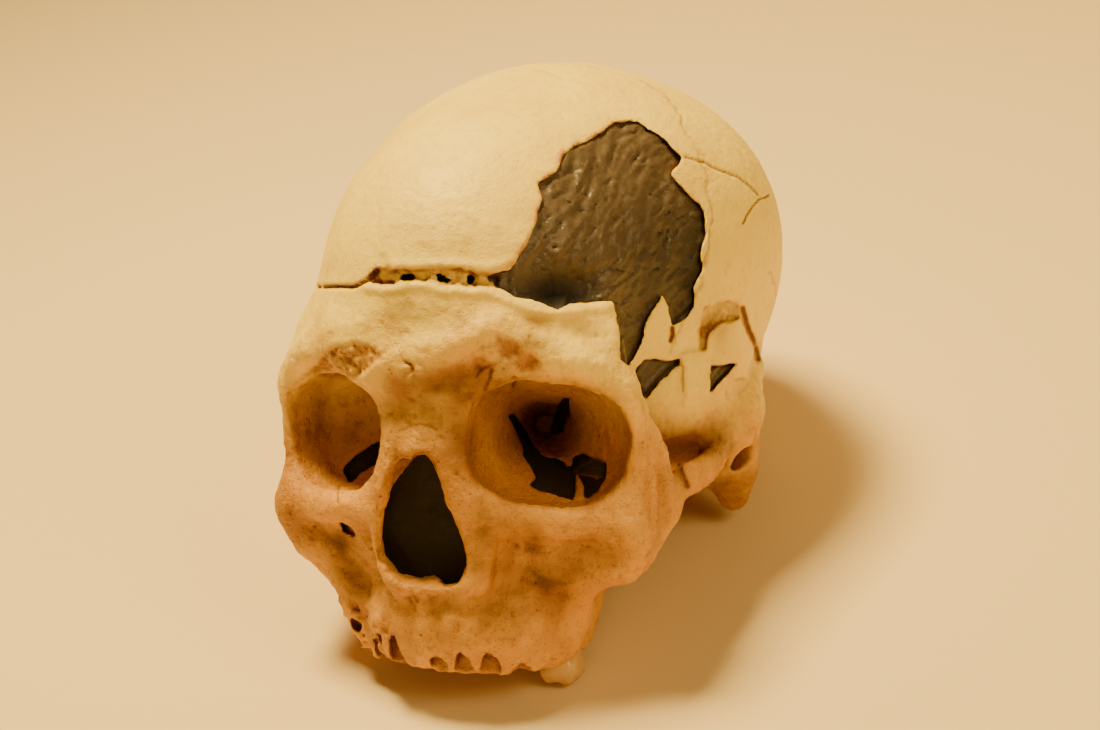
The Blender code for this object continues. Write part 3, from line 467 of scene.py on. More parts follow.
def shape_ear(clay):
    clay.add(bar([(52, 6, 4, 12), (53, 10, -8, 9.5), (53, 13, -20, 5)]), 7)
    clay.add(bar([(55, -14, 2, 4), (58, -2, 5, 3.6), (58, 10, 9, 3.4), (56, 26, 16, 3)]), 9)
    clay.add(ellipsoid((53, 1, -4), (7, 7, 7)), 5)


def shape_brow(clay):
    clay.add(ellipsoid((0, -70, 17), (16, 17, 20)), 8)
    clay.add(bar([(0, -80, 44, 9), (16, -77, 46, 9), (32, -70, 44, 8), (43, -63, 40, 7)]), 10)
    clay.add(bar([
        (0, -87.5, 33, 6), (9, -86, 33.5, 6), (20, -83, 37, 5), (31, -78.5, 39, 4.6),
        (42, -73.5, 37, 4.4), (48.5, -68.5, 31, 4.4), (50.5, -66.5, 25, 4.2),
    ]), 6)
    clay.add(bar([(4, -87, 37, 5), (14, -85.5, 42, 5), (26, -81, 44, 4)]), 8)
    clay.add(bar([(49.5, -64, 32, 4), (45.5, -61, 42, 4.5), (41, -57, 52, 4.5), (39, -48, 62, 3)]), 8)


def shape_cheek(clay):
    clay.add(orbit(4.0, 0.5), 5)
    clay.add(bar([
        (50.5, -66.5, 26, 4.2), (52.3, -64, 15, 4.4), (53, -63.3, 4, 4.7), (51, -66, -7, 5.8),
    ]), 5)
    clay.add(bar([(52, -60, 23, 3.3), (55.3, -56, 10, 3.6), (56, -55, -2, 4.4)]), 5)
    clay.add(bar([
        (51, -66, -7, 5.6), (43, -72.5, -6.5, 5), (34, -77.6, -6.3, 4.4), (23, -81, -4.5, 4.2),
        (14.5, -82.5, 1, 4.2), (11, -82, 10, 4.2),
    ]), 5)
    clay.add(ellipsoid((47.5, -65.5, -10.5), (11.5, 6.8, 12.5), -33), 6)
    clay.add(bar([
        (40, -69.5, -19, 4.2), (46, -67.3, -19.5, 4.3), (51.5, -62, -15.5, 4.5), (55.8, -54, -8.5, 4.6),
    ]), 6)


def shape_arch(clay):
    clay.add(bar([
        (55.5, -54, -4, 5), (58.6, -44, -1.4, 5), (59.8, -30, -1.4, 4.8), (59, -16, 0.5, 4.6),
        (56, -4, 3, 5),
    ], (1, 0.15, 0), 1.5), 4)


def shape_maxilla(clay):
    clay.add(ellipsoid((23, -62, -15), (18, 19.5, 18)), 8)
    clay.add(bar([(46, -66, -19, 4), (40, -66, -23, 4.6), (33.5, -65, -28, 5.2), (29.5, -62, -37, 5)]), 7)
    clay.add(ellipsoid((24.5, -49, -27), (9.5, 9.5, 17)), 7)
    clay.add(ellipsoid((0, -74, -32), (23, 11.5, 13)), 8)


def shape_nose(clay):
    clay.add(bar([
        (5, -84, 24, 5), (6, -87, 16, 4.5), (9.5, -87, 6, 4.2), (13, -86, -4, 4), (15, -85, -13, 4),
        (12.5, -84.5, -22, 4), (4, -85, -26, 4), (0, -85, -26.5, 4),
    ]), 6)
    clay.add(bar([(0, -86, 23, 4.5), (0, -90.5, 15, 3.8)]), 4)
    clay.add(ellipsoid((12, -76, 2), (9, 10, 20)), 7)
    clay.add(bar([(0, -85, -25.5, 2.4), (0, -89.5, -23.5, 1.4)]), 3)


def shape_tooth_row(clay):
    clay.add(bar([
        (0, -80.5, -37, 6.6), (12, -79, -37.5, 6.6), (20.5, -74.5, -38, 6.6), (25.5, -66, -38.5, 6.6),
        (26.5, -55, -38.5, 6.4), (25.2, -46, -37, 6.2),
    ]), 7)
    clay.add(bar([
        (0, -82.5, -45.5, 4.2), (12, -81, -45.5, 4.2), (21, -76, -45.5, 4.4), (26, -67, -45.5, 4.8),
        (27, -56, -45.5, 4.8), (25.2, -47, -43.5, 4.6),
    ]), 6)
    clay.add(ellipsoid((0, -62, -31), (24, 22, 5)), 4)


def shape_hollows(clay):
    clay.cut(orbit(0.0, 14), 1.6)
    clay.swell((54, -50, 36), (13, 13, 22), -3.2)
    clay.swell((28, -82, -19), (9, 8, 10), -3.2)
    clay.cut(rod((66, 1, -6), (46, -1, -3), (4.2, 3.6)), 1.2)
    clay.cut(ellipsoid((0, 15, -26), (14.5, 17.5, 17)), 2)
    clay.cut(bar([(8, -30, -22, 5), (8, -48, -20, 5)]), 2)


def nose_width(z):
    """Half the width of the pear-shaped opening at each height."""
    return np.interp(z, (-25, -21.5, -17, -10, 0, 8, 13), (2, 9.5, 12.2, 11.6, 8.6, 5.6, 1.5))


def nose_opening(x, y, z):
    """The opening, a little to the skull's right of the middle."""
    ends = np.maximum(z - NOSE_TOP, NOSE_FLOOR - z)
    distance = np.maximum(np.abs(x - NOSE_MIDDLE) - nose_width(z), ends)
    return np.maximum(distance, y + NOSE_DEPTH).astype(np.float32)


# Empty tooth sockets: x, y and the height of their inner end
FRONT_SOCKETS = [(-13.0, -84.5, -41.0), (0.2, -86.4, -46.0), (7.6, -85.6, -44.0), (14.7, -83.2, -40.0)]
BACK_SOCKETS = [
    (21.5, -77.5, -42.0), (-21.5, -77.5, -43.0), (-27.5, -68.0, -43.0), (-29.0, -58.0, -42.0),
    (28.0, -50.0, -42.0),
]


def shape_right_side(clay):
    """What differs between the two sides: the wider right jaw, the broken sockets, the resin's back."""
    clay.add(ellipsoid((-39.5, -48.8, 0.2), (8.5, 10, 9.5)), 4)
    clay.cut([(np.array([-18, -106, -26]), np.array([11, -NOSE_DEPTH, 14]), nose_opening)], 1.5)
    clay.add(bar([
        (-44, -67, -21, 4.4), (-37, -68, -28, 5.5), (-32.5, -70, -38, 5.5), (-31.5, -69, -45.5, 4.6),
    ]), 7)


def shape_skull(step):
    half = Clay(BLOCK_LOW, BLOCK_HIGH, step)
    for shape in (
        shape_braincase, shape_base, shape_ear, shape_brow, shape_cheek, shape_arch, shape_maxilla,
        shape_nose, shape_tooth_row, shape_hollows,
    ):
        shape(half)
    whole = half.mirrored()
    shape_right_side(whole)
    return whole


# Noise

class Noise:
    """Smooth random values from -1 to 1, the same at each run."""

    SIZE = 32

    def __init__(self, seed):
        self.table = np.random.default_rng(seed).uniform(-1, 1, (self.SIZE,) * 3).astype(np.float32)

    def __call__(self, x, y, z, scale):
        cells, fractions = [], []
        for values in (x, y, z):
            values = np.asarray(values, np.float32) / scale
            cell = np.floor(values).astype(np.int32)
            part = values - cell
            cells.append(cell % self.SIZE)
            fractions.append(part * part * (3 - 2 * part))
        return between(self.table, cells, fractions)

    def layered(self, x, y, z, scale, layers):
        """The sum of several noises, each half as wide and half as high as the one before."""
        total = 0
        for layer in range(layers):
            shift = 17.3 * layer
            total = total + self(x + shift, y - shift, z + 2 * shift, scale / 2**layer) / 2**layer
        return total


# The picture plane

def on_plane(x, y, z):
    """Right, up and distance along the line of sight, for places in the skull's frame."""
    u, v, w = x - SIGHT_EYE[0], y - SIGHT_EYE[1], z - SIGHT_EYE[2]
    distance = -along_axis(u, v, w, SIGHT_BACK)
    scale = SIGHT_DISTANCE / distance
    return along_axis(u, v, w, SIGHT_RIGHT) * scale, along_axis(u, v, w, SIGHT_UP) * scale, distance


def spot(right, up, centre, radii, turn=0):
    """A soft patch on the picture plane, 1 at its centre, turned by turn degrees."""
    cosine, sine = math.cos(math.radians(turn)), math.sin(math.radians(turn))
    u, v = right - centre[0], up - centre[1]
    along, across = (cosine * u + sine * v) / radii[0], (cosine * v - sine * u) / radii[1]
    return np.exp(-along**2 - across**2)


def off_plane(marks, distance):
    """The places at that distance behind marks on the picture plane."""
    marks = np.asarray(marks, float)
    distance = np.asarray(distance, float)[..., None]
    across = marks[..., :1] * SIGHT_RIGHT + marks[..., 1:] * SIGHT_UP
    return SIGHT_EYE - SIGHT_BACK * distance + across * distance / SIGHT_DISTANCE


def torn(outline, size, seed, closed=True, spacing=0.6):
    """An outline broken into short uneven runs, as bone breaks."""
    random = np.random.default_rng(seed)
    points = np.array(outline, float)
    if closed:
        points = np.vstack([points, points[:1]])
    lengths = np.linalg.norm(np.diff(points, axis=0), axis=1)
    reach = np.concatenate([[0], np.cumsum(lengths)])
    count = max(int(reach[-1] / spacing), 4)
    places = np.linspace(0, reach[-1], count + 1)
    path = np.stack([np.interp(places, reach, points[:, i]) for i in (0, 1)], axis=1)
    wander = np.zeros((count + 1, 2))
    for run, share in ((8.0, 0.5), (3.0, 0.35), (1.2, 0.25)):
        knots = np.arange(0, reach[-1] + 2 * run, run)
        pull = random.uniform(-1, 1, (len(knots), 2)) * share
        if closed:
            pull[-2:] = pull[:2]
        wander += np.stack([np.interp(places, knots, pull[:, i]) for i in (0, 1)], axis=1)
    path = path + wander * size
    return path[:-1] if closed else path


class OutlineMap:
    """Distances on the picture plane to an outline, negative inside it where it is closed."""

    CELL = 0.3
    MARGIN = 9.0

    def __init__(self, outline, closed=True):
        points = np.asarray(outline, float)
        self.low = points.min(0) - self.MARGIN
        self.high = points.max(0) + self.MARGIN
        u = np.arange(self.low[0], self.high[0], self.CELL)[:, None]
        v = np.arange(self.low[1], self.high[1], self.CELL)[None, :]
        ends = np.roll(points, -1, axis=0) if closed else points[1:]
        nearest = np.full((u.shape[0], v.shape[1]), 1e6)
        inside = np.zeros(nearest.shape, bool)
        for start, end in zip(points, ends):
            along = end - start
            a, b = u - start[0], v - start[1]
            t = np.clip((a * along[0] + b * along[1]) / max(along @ along, 1e-9), 0, 1)
            nearest = np.minimum(nearest, (a - t * along[0])**2 + (b - t * along[1])**2)
            if closed and start[1] != end[1]:
                crosses = (start[1] > v) != (end[1] > v)
                inside ^= crosses & (u < start[0] + along[0] * (v - start[1]) / along[1])
        self.table = np.where(inside, -1, 1) * np.sqrt(nearest)
        self.table = self.table.astype(np.float32)

    def at(self, right, up):
        i = np.clip((right - self.low[0]) / self.CELL, 0, self.table.shape[0] - 1.001)
        j = np.clip((up - self.low[1]) / self.CELL, 0, self.table.shape[1] - 1.001)
        a, b = i.astype(np.int32), j.astype(np.int32)
        p, q = i - a, j - b
        low = self.table[a, b] * (1 - q) + self.table[a, b + 1] * q
        high = self.table[a + 1, b] * (1 - q) + self.table[a + 1, b + 1] * q
        return low * (1 - p) + high * p

    def box(self, span):
        """The box that the outline sweeps between two distances."""
        low, high = self.low + self.MARGIN - 2, self.high - self.MARGIN + 2
        corners = box_outline(low, high)
        places = np.vstack([off_plane(corners, np.full(4, distance)) for distance in span])
        return places.min(0), places.max(0)

    def measured(self, x, y, z, span):
        """The distance to the swept outline, at places in the skull's frame."""
        right, up, distance = on_plane(x, y, z)
        flat = self.at(right, up)
        ends = np.maximum(span[0] - distance, distance - span[1])
        return np.maximum(flat, ends).astype(np.float32), right, up


# The resin

grain = Noise(11)


def temple_surface(right, up, place):
    """How far the temple's resin lies under the bone's skin: strokes, ridges and a deep hollow."""
    under = 1.1 + 0.5 * grain.layered(*place, 16.0, 2)
    under = under + 5.0 * spot(right, up, (2.5, 23.5), (11, 6.5))
    under = under + 0.8 * np.clip((right - 30) / 8, 0, 1)
    bend = 2.6 * grain(right, up, 0 * right + 5, 10.0)
    turned = 0.35 * right + 0.94 * up, 0.94 * right - 0.35 * up + bend
    strokes = grain.layered(turned[0] / 4, turned[1], 0 * right + 3, 2.8, 3)
    smears = grain.layered((right + up) / 3, right - up + bend, 0 * right + 7, 2.3, 3)
    share = np.clip(0.5 + 1.5 * grain(right, up, 0 * right + 1, 9.0), 0, 1)
    under = under + 0.62 * (strokes * share + smears * (1 - share))
    for number, (lean, size) in enumerate(((0.45, 1.5), (-0.3, 1.3), (1.1, 1.7))):
        along = (right + lean * up) / math.hypot(1, lean)
        across = (lean * right - up) / math.hypot(1, lean) + 0.5 * bend
        nicks = grain(along / 3.4, across, 0 * right + 9 + 4 * number, size)
        under = under + 2.2 * np.clip(nicks - 0.62, 0, 1) - 1.0 * np.clip(-nicks - 0.66, 0, 1)
    return under


def plain_surface(right, up, place):
    """How far the resin in the orbits lies under the bone's skin."""
    return 1.6 + 0.3 * grain.layered(*place, 5.0, 2)


def ribbed_surface(right, up, place):
    """How far the resin in the small windows lies under the bone's skin."""
    ribs = np.sin((right * 0.75 - up * 0.66) * 2.6 + 1.5 * grain(*place, 4.0))
    return 1.7 + 0.3 * ribs


# Name, outline, span along the line of sight, unevenness of the edge, and surface
FILLS = [
    ("fill_temple", TEMPLE_OUTLINE, (500.0, 640.0), 1.0, temple_surface),
    ("fill_window_front", FRONT_WINDOW_OUTLINE, (545.0, 590.0), 0.5, ribbed_surface),
    ("fill_window_rear", REAR_WINDOW_OUTLINE, (570.0, 612.0), 0.5, ribbed_surface),
    ("fill_orbit_left", LEFT_ORBIT_OUTLINE, (535.0, 580.0), 0.6, plain_surface),
    ("fill_orbit_left_slit", LEFT_ORBIT_SLIT_OUTLINE, (545.0, 590.0), 0.5, plain_surface),
    ("fill_orbit_right", RIGHT_ORBIT_OUTLINE, (560.0, 588.0), 0.5, plain_surface),
]


def region(clay, outline, span, size, seed):
    """The grid's part that a torn outline sweeps, its coordinates, the distance there to the
    swept outline, and right and up on the picture plane."""
    mapped = OutlineMap(torn(outline, size, seed))
    spans, place = clay.window(*mapped.box(span), 2)
    return spans, place, *mapped.measured(*place, span)


def sink(clay, outline, span, depth, seed, soft):
    """Lowers the surface inside an outline by depth."""
    spans, _, reach, _, _ = region(clay, outline, span, 0.5, seed)
    clay.distance[spans] += depth * np.clip(0.5 - reach / soft, 0, 1)


# Outline, span, depth, random start and softness of the edge
SUNK = [
    (CHANNEL_OUTLINE, FACE_SPAN, 2.1, 6, 1.2),
    (VALLEY_OUTLINE, SIDE_SPAN, 0.9, 7, 1.2),
    (PLATE_OUTLINE, SIDE_SPAN, -0.7, 8, 0.9),
]


def carve(clay, spans, hollow, softness):
    """Takes a hollow out of the grid's part."""
    clay.distance[spans] = -smooth_minimum(-clay.distance[spans], hollow, softness)


def wear(clay):
    """Details of the bone's surface that are too deep for its mesh to be moved."""
    spans, (_, y, _), reach, _, _ = region(clay, NOSE_OUTLINE, NOSE_SPAN, 0.3, NOSE_SEED)
    carve(clay, spans, np.maximum(reach, y + NOSE_DEPTH), 0.6)
    for outline, span, depth, seed, soft in SUNK:
        sink(clay, outline, span, depth, seed, soft)
    spans, (x, y, z) = clay.window((-44, -96, -62), (44, -36, -30), 0)
    x, y, z = np.broadcast_arrays(x, y, z)
    jaw = np.clip((-41.0 - z) / 4, 0, 1) * np.clip((-38.0 - y) / 4, 0, 1)
    broken = np.clip((-33.0 - z) / 4, 0, 1) * np.clip((-13.0 - x) / 4, 0, 1)
    broken = broken * np.clip((-60.0 - y) / 6, 0, 1)
    clay.distance[spans] += 0.7 * jaw * grain.layered(x, y, z, 4.0, 2)
    clay.distance[spans] += 1.1 * broken * (0.25 + grain.layered(x, y, z, 2.8, 2))
    for x, y, top in FRONT_SOCKETS:
        clay.cut(rod((x, y - 0.6, -56), (x, y + 1.2, top), (3.4, 2.4)), 0.5)
    for x, y, top in BACK_SOCKETS:
        clay.cut(rod((x, y, -54), (x, y, top), (3.2, 2.4)), 0.6)
    clay.cut(rod((-31.5, -74.0, -41.5), (-26.5, -70.0, -42.5), (2.0, 1.6)), 0.5)


def open_holes(clay):
    """Holes in the bone that show no resin."""
    for number, outline in enumerate(BREAK_HOLES):
        spans, _, reach, _, _ = region(clay, outline, FACE_SPAN, 0.6, HOLE_SEED + number)
        carve(clay, spans, np.maximum(reach, -(clay.distance[spans] + HOLE_DEPTH)), 0.3)
    spans, _, reach, _, _ = region(clay, FORAMEN_OUTLINE, CHEEK_SPAN, 0.3, FORAMEN_SEED)
    carve(clay, spans, np.maximum(reach, -(clay.distance[spans] + FORAMEN_DEPTH)), 0.6)


def fit_fills(clay):
    """Cuts the resin's pockets into the bone and returns each fill as clay of its own."""
    fills = []
    for number, (name, outline, span, size, surface) in enumerate(FILLS):
        spans, place, reach, right, up = region(clay, outline, span, size, FILL_SEED + number)
        skin = clay.distance[spans].copy()
        spread = np.broadcast_arrays(*place)
        edge = 0.8 * np.exp(-(np.minimum(reach, 0) / 0.7)**2) * (0.5 + grain(*spread, 7.0))
        top = skin + surface(right, up, spread) + edge
        body = np.maximum(reach - 0.7, np.maximum(top, -(skin + POCKET_DEPTH - 0.3)))
        axes = [axis.ravel() for axis in place]
        fills.append((name, Clay.of(clay.step, axes, body.astype(np.float32))))
        carve(clay, spans, np.maximum(reach, -(skin + POCKET_DEPTH)), 0.5)
    return fills


def fit_nose_fill(clay):
    """The resin that backs the nose opening."""
    low, high = np.array([-20.0, -84.0, -27.0]), np.array([14.0, -64.0, 16.0])
    fill = clay.part(low, high)
    x, y, z = np.meshgrid(*fill.axes, indexing="ij")
    swirl = 0.9 * grain.layered(x / 2, y, z / 3, 3.0, 3)
    front = RESIN_FRONT + swirl - y
    reach, _, _ = OutlineMap(NOSE_OUTLINE).measured(x, y, z, NOSE_SPAN)
    side = np.minimum(np.abs(x - NOSE_MIDDLE) - nose_width(z), reach) - 1.2
    ends = np.maximum(y + NOSE_DEPTH - 0.2, np.maximum(z - NOSE_TOP - 3.0, NOSE_FLOOR - 2.7 - z))
    fill.distance = np.maximum(np.maximum(side, front), ends).astype(np.float32)
    return "fill_nose", fill


# Meshes

def above_floor(y, z):
    """How high a place in the skull's frame stands when the skull rests."""
    return math.cos(REST_TILT) * z - math.sin(REST_TILT) * y + REST_HEIGHT


def rest_matrix():
    """From the skull's own frame, in millimetres, to where it lies, in metres."""
    turn = Matrix.Rotation(-REST_TILT, 4, "X")
    return Matrix.Scale(MM, 4) @ Matrix.Translation(Vector((0, REST_SHIFT, REST_HEIGHT))) @ turn


def clay_object(name, clay):
    band = 3 * clay.step
    grid = openvdb.FloatGrid(band)
    values = np.pad(np.clip(clay.distance, -band, band), 1, constant_values=band)
    grid.copyFromArray(np.ascontiguousarray(values.astype(np.float32)))
    points, quads = grid.convertToQuads(0.0)
    points = points * clay.step + np.array([axis[0] - clay.step for axis in clay.axes])
    mesh = bpy.data.meshes.new(name)
    mesh.vertices.add(len(points))
    mesh.vertices.foreach_set("co", points.astype(np.float32).ravel())
    mesh.loops.add(len(quads) * 4)
    mesh.loops.foreach_set("vertex_index", quads.astype(np.int32).ravel())
    mesh.polygons.add(len(quads))
    mesh.polygons.foreach_set("loop_start", np.arange(len(quads), dtype=np.int32) * 4)
    mesh.update(calc_edges=True)
    return placed(name, mesh)


def placed(name, mesh):
    obj = bpy.data.objects.new(name, mesh)
    bpy.context.scene.collection.objects.link(obj)
    return obj


def places_of(mesh):
    places = np.empty(len(mesh.vertices) * 3, np.float32)
    mesh.vertices.foreach_get("co", places)
    return places.reshape(-1, 3)


def normals_of(mesh):
    normals = np.empty(len(mesh.vertices) * 3, np.float32)
    mesh.vertices.foreach_get("normal", normals)
    return normals.reshape(-1, 3)


def roughen(obj, heights):
    """Moves each point of the mesh along its normal."""
    places = places_of(obj.data) + normals_of(obj.data) * heights[:, None]
    obj.data.vertices.foreach_set("co", places.astype(np.float32).ravel())
    obj.data.update()


class Marks:
    """The marks on the bone, weighed at each point of a mesh."""

    def __init__(self):
        self.cracks = [
            (OutlineMap(torn(path, size, CRACK_SEED + number, False, 0.4), False), width, depth, dark)
            for number, (path, size, width, depth, dark) in enumerate(CRACKS)
        ]
        self.worn = [
            (OutlineMap(torn(outline, 0.8, WORN_SEED + number)), depth, rough, red)
            for number, (outline, depth, rough, red) in enumerate(WORN)
        ]
        self.lips = [OutlineMap(smooth_path(path, 3), False) for path in (LOWER_LIP, UPPER_LIP)]
        self.temple = OutlineMap(TEMPLE_OUTLINE)
        self.sutures = [
            (OutlineMap(flat_path(path), False), side)
            for path, side in (
                (CORONAL + [PTERION], 0), (LAMBDOID, 0), (SQUAMOSAL, -1), (SQUAMOSAL[3:], 1),
            )
        ]

    def suture_distance(self, places):
        """The distance to the sutures, which wander as they run."""
        x, y, z = places.T
        shift = 1.5 * grain(x, y, z, 3.4) + 0.8 * grain(x, y, z, 1.5)
        lift = 1.5 * grain(z, x, y, 3.1) + 0.8 * grain(z, x, y, 1.3)
        nearest = np.full(len(x), 50.0)
        for mapped, side in self.sutures:
            reach = mapped.at(y + shift, z + lift)
            nearest = np.minimum(nearest, np.where(side * x < 0, 50.0, reach))
        above = (y > 9.5) & (z > np.interp(y, (47, 60, 72, 84, 106), (14, 28, 45, 60, 76)))
        return np.minimum(nearest, np.where(above, np.abs(x + lift), 50.0))

    def weigh(self, places, normals):
        """Heights, and the strengths of the dark lines, red worn ground, stains with painted shade among
        them, and orange edges.
        """
        x, y, z = places.T
        right, up, distance = on_plane(x, y, z)
        sight = SIGHT_EYE - places
        sight = sight / np.linalg.norm(sight, axis=1)[:, None]
        facing = np.clip(np.sum(sight * normals, axis=1) / 0.2, 0, 1) * (distance < FARTHEST_MARK)
        heights = 0.16 * grain.layered(x, y, z, 7.0, 3) + 0.05 * grain(x, y, z, 1.3)
        coarse, fine = grain.layered(x, y, z, 3.2, 2), grain.layered(x, y, z, 1.5, 2)
        low_down = np.clip((56 - z - 0.3 * (y + 60)) / 24, 0, 1)
        heights -= 1.3 * np.clip(grain(x, y, z, 1.9) - 0.52, 0, 1) * (0.2 + 0.8 * low_down)
        heights += 0.22 * low_down * coarse + (0.05 + 0.09 * low_down) * fine
        heights += 0.55 * low_down * grain.layered(x, y, z, 11.0, 2)
        dark, red = np.zeros(len(x)), np.zeros(len(x))
        for mapped, width, depth, strength in self.cracks:
            line = np.exp(-(mapped.at(right, up) / width)**2) * facing
            heights -= depth * line
            dark = np.maximum(dark, strength * line)
        for mapped, depth, rough, strength in self.worn:
            ground = np.clip(0.5 - mapped.at(right, up) / 1.6, 0, 1) * facing
            heights -= ground * (0.8 * depth - rough * (0.8 * coarse + 0.5 * fine))
            red = np.maximum(red, strength * ground * np.clip(0.75 + 0.5 * coarse, 0, 1))
        for centre, radii, turn, height in RELIEF:
            heights += height * spot(right, up, centre, radii, turn) * facing
        for mapped, height in zip(self.lips, (0.7, 0.35)):
            heights += height * np.exp(-(mapped.at(right, up) / 1.5)**2) * facing
        suture = np.exp(-(self.suture_distance(places) / 0.55)**2)
        suture = suture * np.clip(0.75 + 0.6 * grain(x, y, z, 6.0), 0.2, 1)
        heights -= 0.4 * suture
        stain = np.zeros(len(x))
        blot = 1.0 + 0.5 * grain.layered(x, y, z, 5.0, 3)
        # Real stains, and spots of painted shade under the brow ridges and in shallow hollows of the
        # forehead
        for centre, radii, strength in STAINS_AND_SHADE:
            stain += strength * spot(right, up, centre, radii) * facing
        edge = self.temple.at(right, up)
        edge = np.exp(-(np.maximum(edge, 0) / 1.3)**2) * facing * np.clip(0.55 + 0.8 * coarse, 0, 1)
        edge = edge * np.clip((28 - right) / 12, 0.15, 1) * np.clip((up - 24) / 6, 0, 1)
        heights *= np.clip(above_floor(y, z) / 2.0, 0, 1)
        return heights, dark, red, stain * blot, edge, suture


# Parting the bones

def apply_modifiers(obj):
    graph = bpy.context.evaluated_depsgraph_get()
    mesh = bpy.data.meshes.new_from_object(obj.evaluated_get(graph))
    obj.modifiers.clear()
    used = obj.data
    obj.data = mesh
    bpy.data.meshes.remove(used)


def removed(*objects):
    for obj in objects:
        mesh = obj.data
        bpy.data.objects.remove(obj)
        bpy.data.meshes.remove(mesh)


def combine(obj, tool, operation):
    step = obj.modifiers.new(operation.lower(), "BOOLEAN")
    step.operation = operation
    step.object = tool
    step.solver = "MANIFOLD"
    apply_modifiers(obj)


def loft(name, rings):
    """A closed solid through rings of as many corners."""
    count = len(rings[0])
    points = [tuple(corner) for ring in rings for corner in ring]
    faces = [tuple(range(count))[::-1], tuple(range(len(points) - count, len(points)))]
    for ring in range(len(rings) - 1):
        for i in range(count):
            j = (i + 1) % count
            a, b = ring * count, (ring + 1) * count
            faces.append((a + i, a + j, b + j, b + i))
    mesh = bpy.data.meshes.new(name)
    mesh.from_pydata(points, [], faces)
    obj = placed(name, mesh)
    shell = bmesh.new()
    shell.from_mesh(mesh)
    bmesh.ops.recalc_face_normals(shell, faces=shell.faces)
    bmesh.ops.triangulate(shell, faces=[face for face in shell.faces if len(face.verts) > 4])
    shell.to_mesh(mesh)
    shell.free()
    return obj


def side_solid(outline, span):
    """The outline, as (y, z), swept from one x to another."""
    return loft("side", [[(x, y, z) for y, z in outline] for x in span])


def front_solid(outline, span):
    """The outline, as (x, z), swept from one y to another."""
    return loft("front", [[(x, y, z) for x, z in outline] for y in span])


def box_outline(low, high):
    return [(low[0], low[1]), (high[0], low[1]), (high[0], high[1]), (low[0], high[1])]


def part_off(block, name, *solids):
    piece = placed(name + LOOK, block.data.copy())
    region = solids[0]
    for solid in solids[1:]:
        combine(region, solid, "UNION")
        removed(solid)
    combine(piece, region, "INTERSECT")
    combine(block, region, "DIFFERENCE")
    removed(region)
    return piece


# Where the bones part: (y, z) from the side, and (x, z) from the front for the nose and cheek
CORONAL = [(9.0, 126.0), (9.0, 107.0), (-3.0, 95.0), (-13.0, 78.0), (-21.0, 60.0), (-29.0, 46.0)]
PTERION = (-35.0, 33.0)
FRONTAL_FLOOR = [(-46.0, 27.0), (-60.0, 23.0), (-110.0, 23.0)]
FRONTAL_BREAK = [(-110.0, 59.0), (-84.0, 58.5), (-62.0, 53.5), (-40.0, 50.0), (-20.0, 52.0)]
SQUAMOSAL = [(-35.0, 33.0), (-26.0, 42.0), (-10.0, 50.0), (10.0, 50.0), (27.0, 39.0), (36.0, 24.0)]
LAMBDOID = [(47.0, 14.0), (60.0, 28.0), (72.0, 45.0), (84.0, 60.0), (106.0, 76.0)]
NASAL_OUTLINE = [(-5.0, 26.0), (-7.0, 14.0), (-7.5, 7.0), (7.5, 7.0), (7.0, 14.0), (5.0, 26.0)]
CHEEK_OUTLINE = [
    (38.0, -1.0), (36.0, -4.5), (40.0, -12.0), (45.0, -19.0), (47.0, -36.0), (80.0, -36.0),
    (80.0, 26.0), (44.0, 26.0), (43.0, 6.0),
]
TEMPORAL_OUTLINE = [
    (-20.0, 62.0), (-20.0, -62.0), (30.0, -62.0), (33.0, -12.0), (38.0, 0.0), (47.0, 14.0),
    (52.0, 62.0),
]
ACROSS = (-90, 90)


def flat_path(points):
    return [tuple(point) for point in smooth_path(points, 3)]


def side_span(side, near, far):
    return (near, far) if side > 0 else (-far, -near)


def part_bones(skull):
    coronal = flat_path(CORONAL + [PTERION])
    front = coronal + FRONTAL_FLOOR + [(-110.0, 126.0)]
    frontal = part_off(skull, "frontal_brow", side_solid(front, ACROSS))
    above = flat_path(FRONTAL_BREAK) + [(20.0, 52.0), (20.0, 132.0), (-110.0, 132.0)]
    bones = [frontal, part_off(frontal, "frontal_vault", side_solid(above, ACROSS))]
    outline = flat_path(SQUAMOSAL) + flat_path(LAMBDOID)
    outline += [(106.0, 132.0), (-60.0, 132.0), (-60.0, 33.0)]
    parietal = part_off(skull, "parietal_right", side_solid(outline, ACROSS))
    half = box_outline((-120.0, -80.0), (120.0, 140.0))
    bones += [parietal, part_off(parietal, "parietal_left", side_solid(half, (0, 95)))]
    for side, word in ((1, "left"), (-1, "right")):
        arch = side_solid(box_outline((-36.0, -16.0), (-15.0, 16.0)), side_span(side, 51, 90))
        solid = side_solid(TEMPORAL_OUTLINE, side_span(side, 33, 90))
        bones.append(part_off(skull, f"temporal_{word}", solid, arch))
    rear = box_outline((-14.0, -80.0), (120.0, 140.0))
    bones.append(part_off(skull, "occipital", side_solid(rear, ACROSS)))
    for side, word in ((1, "left"), (-1, "right")):
        outline = [(side * x, z) for x, z in CHEEK_OUTLINE]
        arch = side_solid(box_outline((-60.0, -18.0), (-34.0, 14.0)), side_span(side, 50.5, 80))
        bones.append(part_off(skull, f"zygomatic_{word}", front_solid(outline, (-100, -53)), arch))
    bones.append(part_off(skull, "nasal_bones", front_solid(NASAL_OUTLINE, (-104, -82))))
    middle = box_outline((-44.0, -80.0), (120.0, 140.0))
    bones.append(part_off(skull, "sphenoid", side_solid(middle, ACROSS)))
    bones.append(part_off(skull, "maxilla_left", side_solid(half, (0, 95))))
    skull.name = "maxilla_right" + LOOK
    bones.append(skull)
    return bones


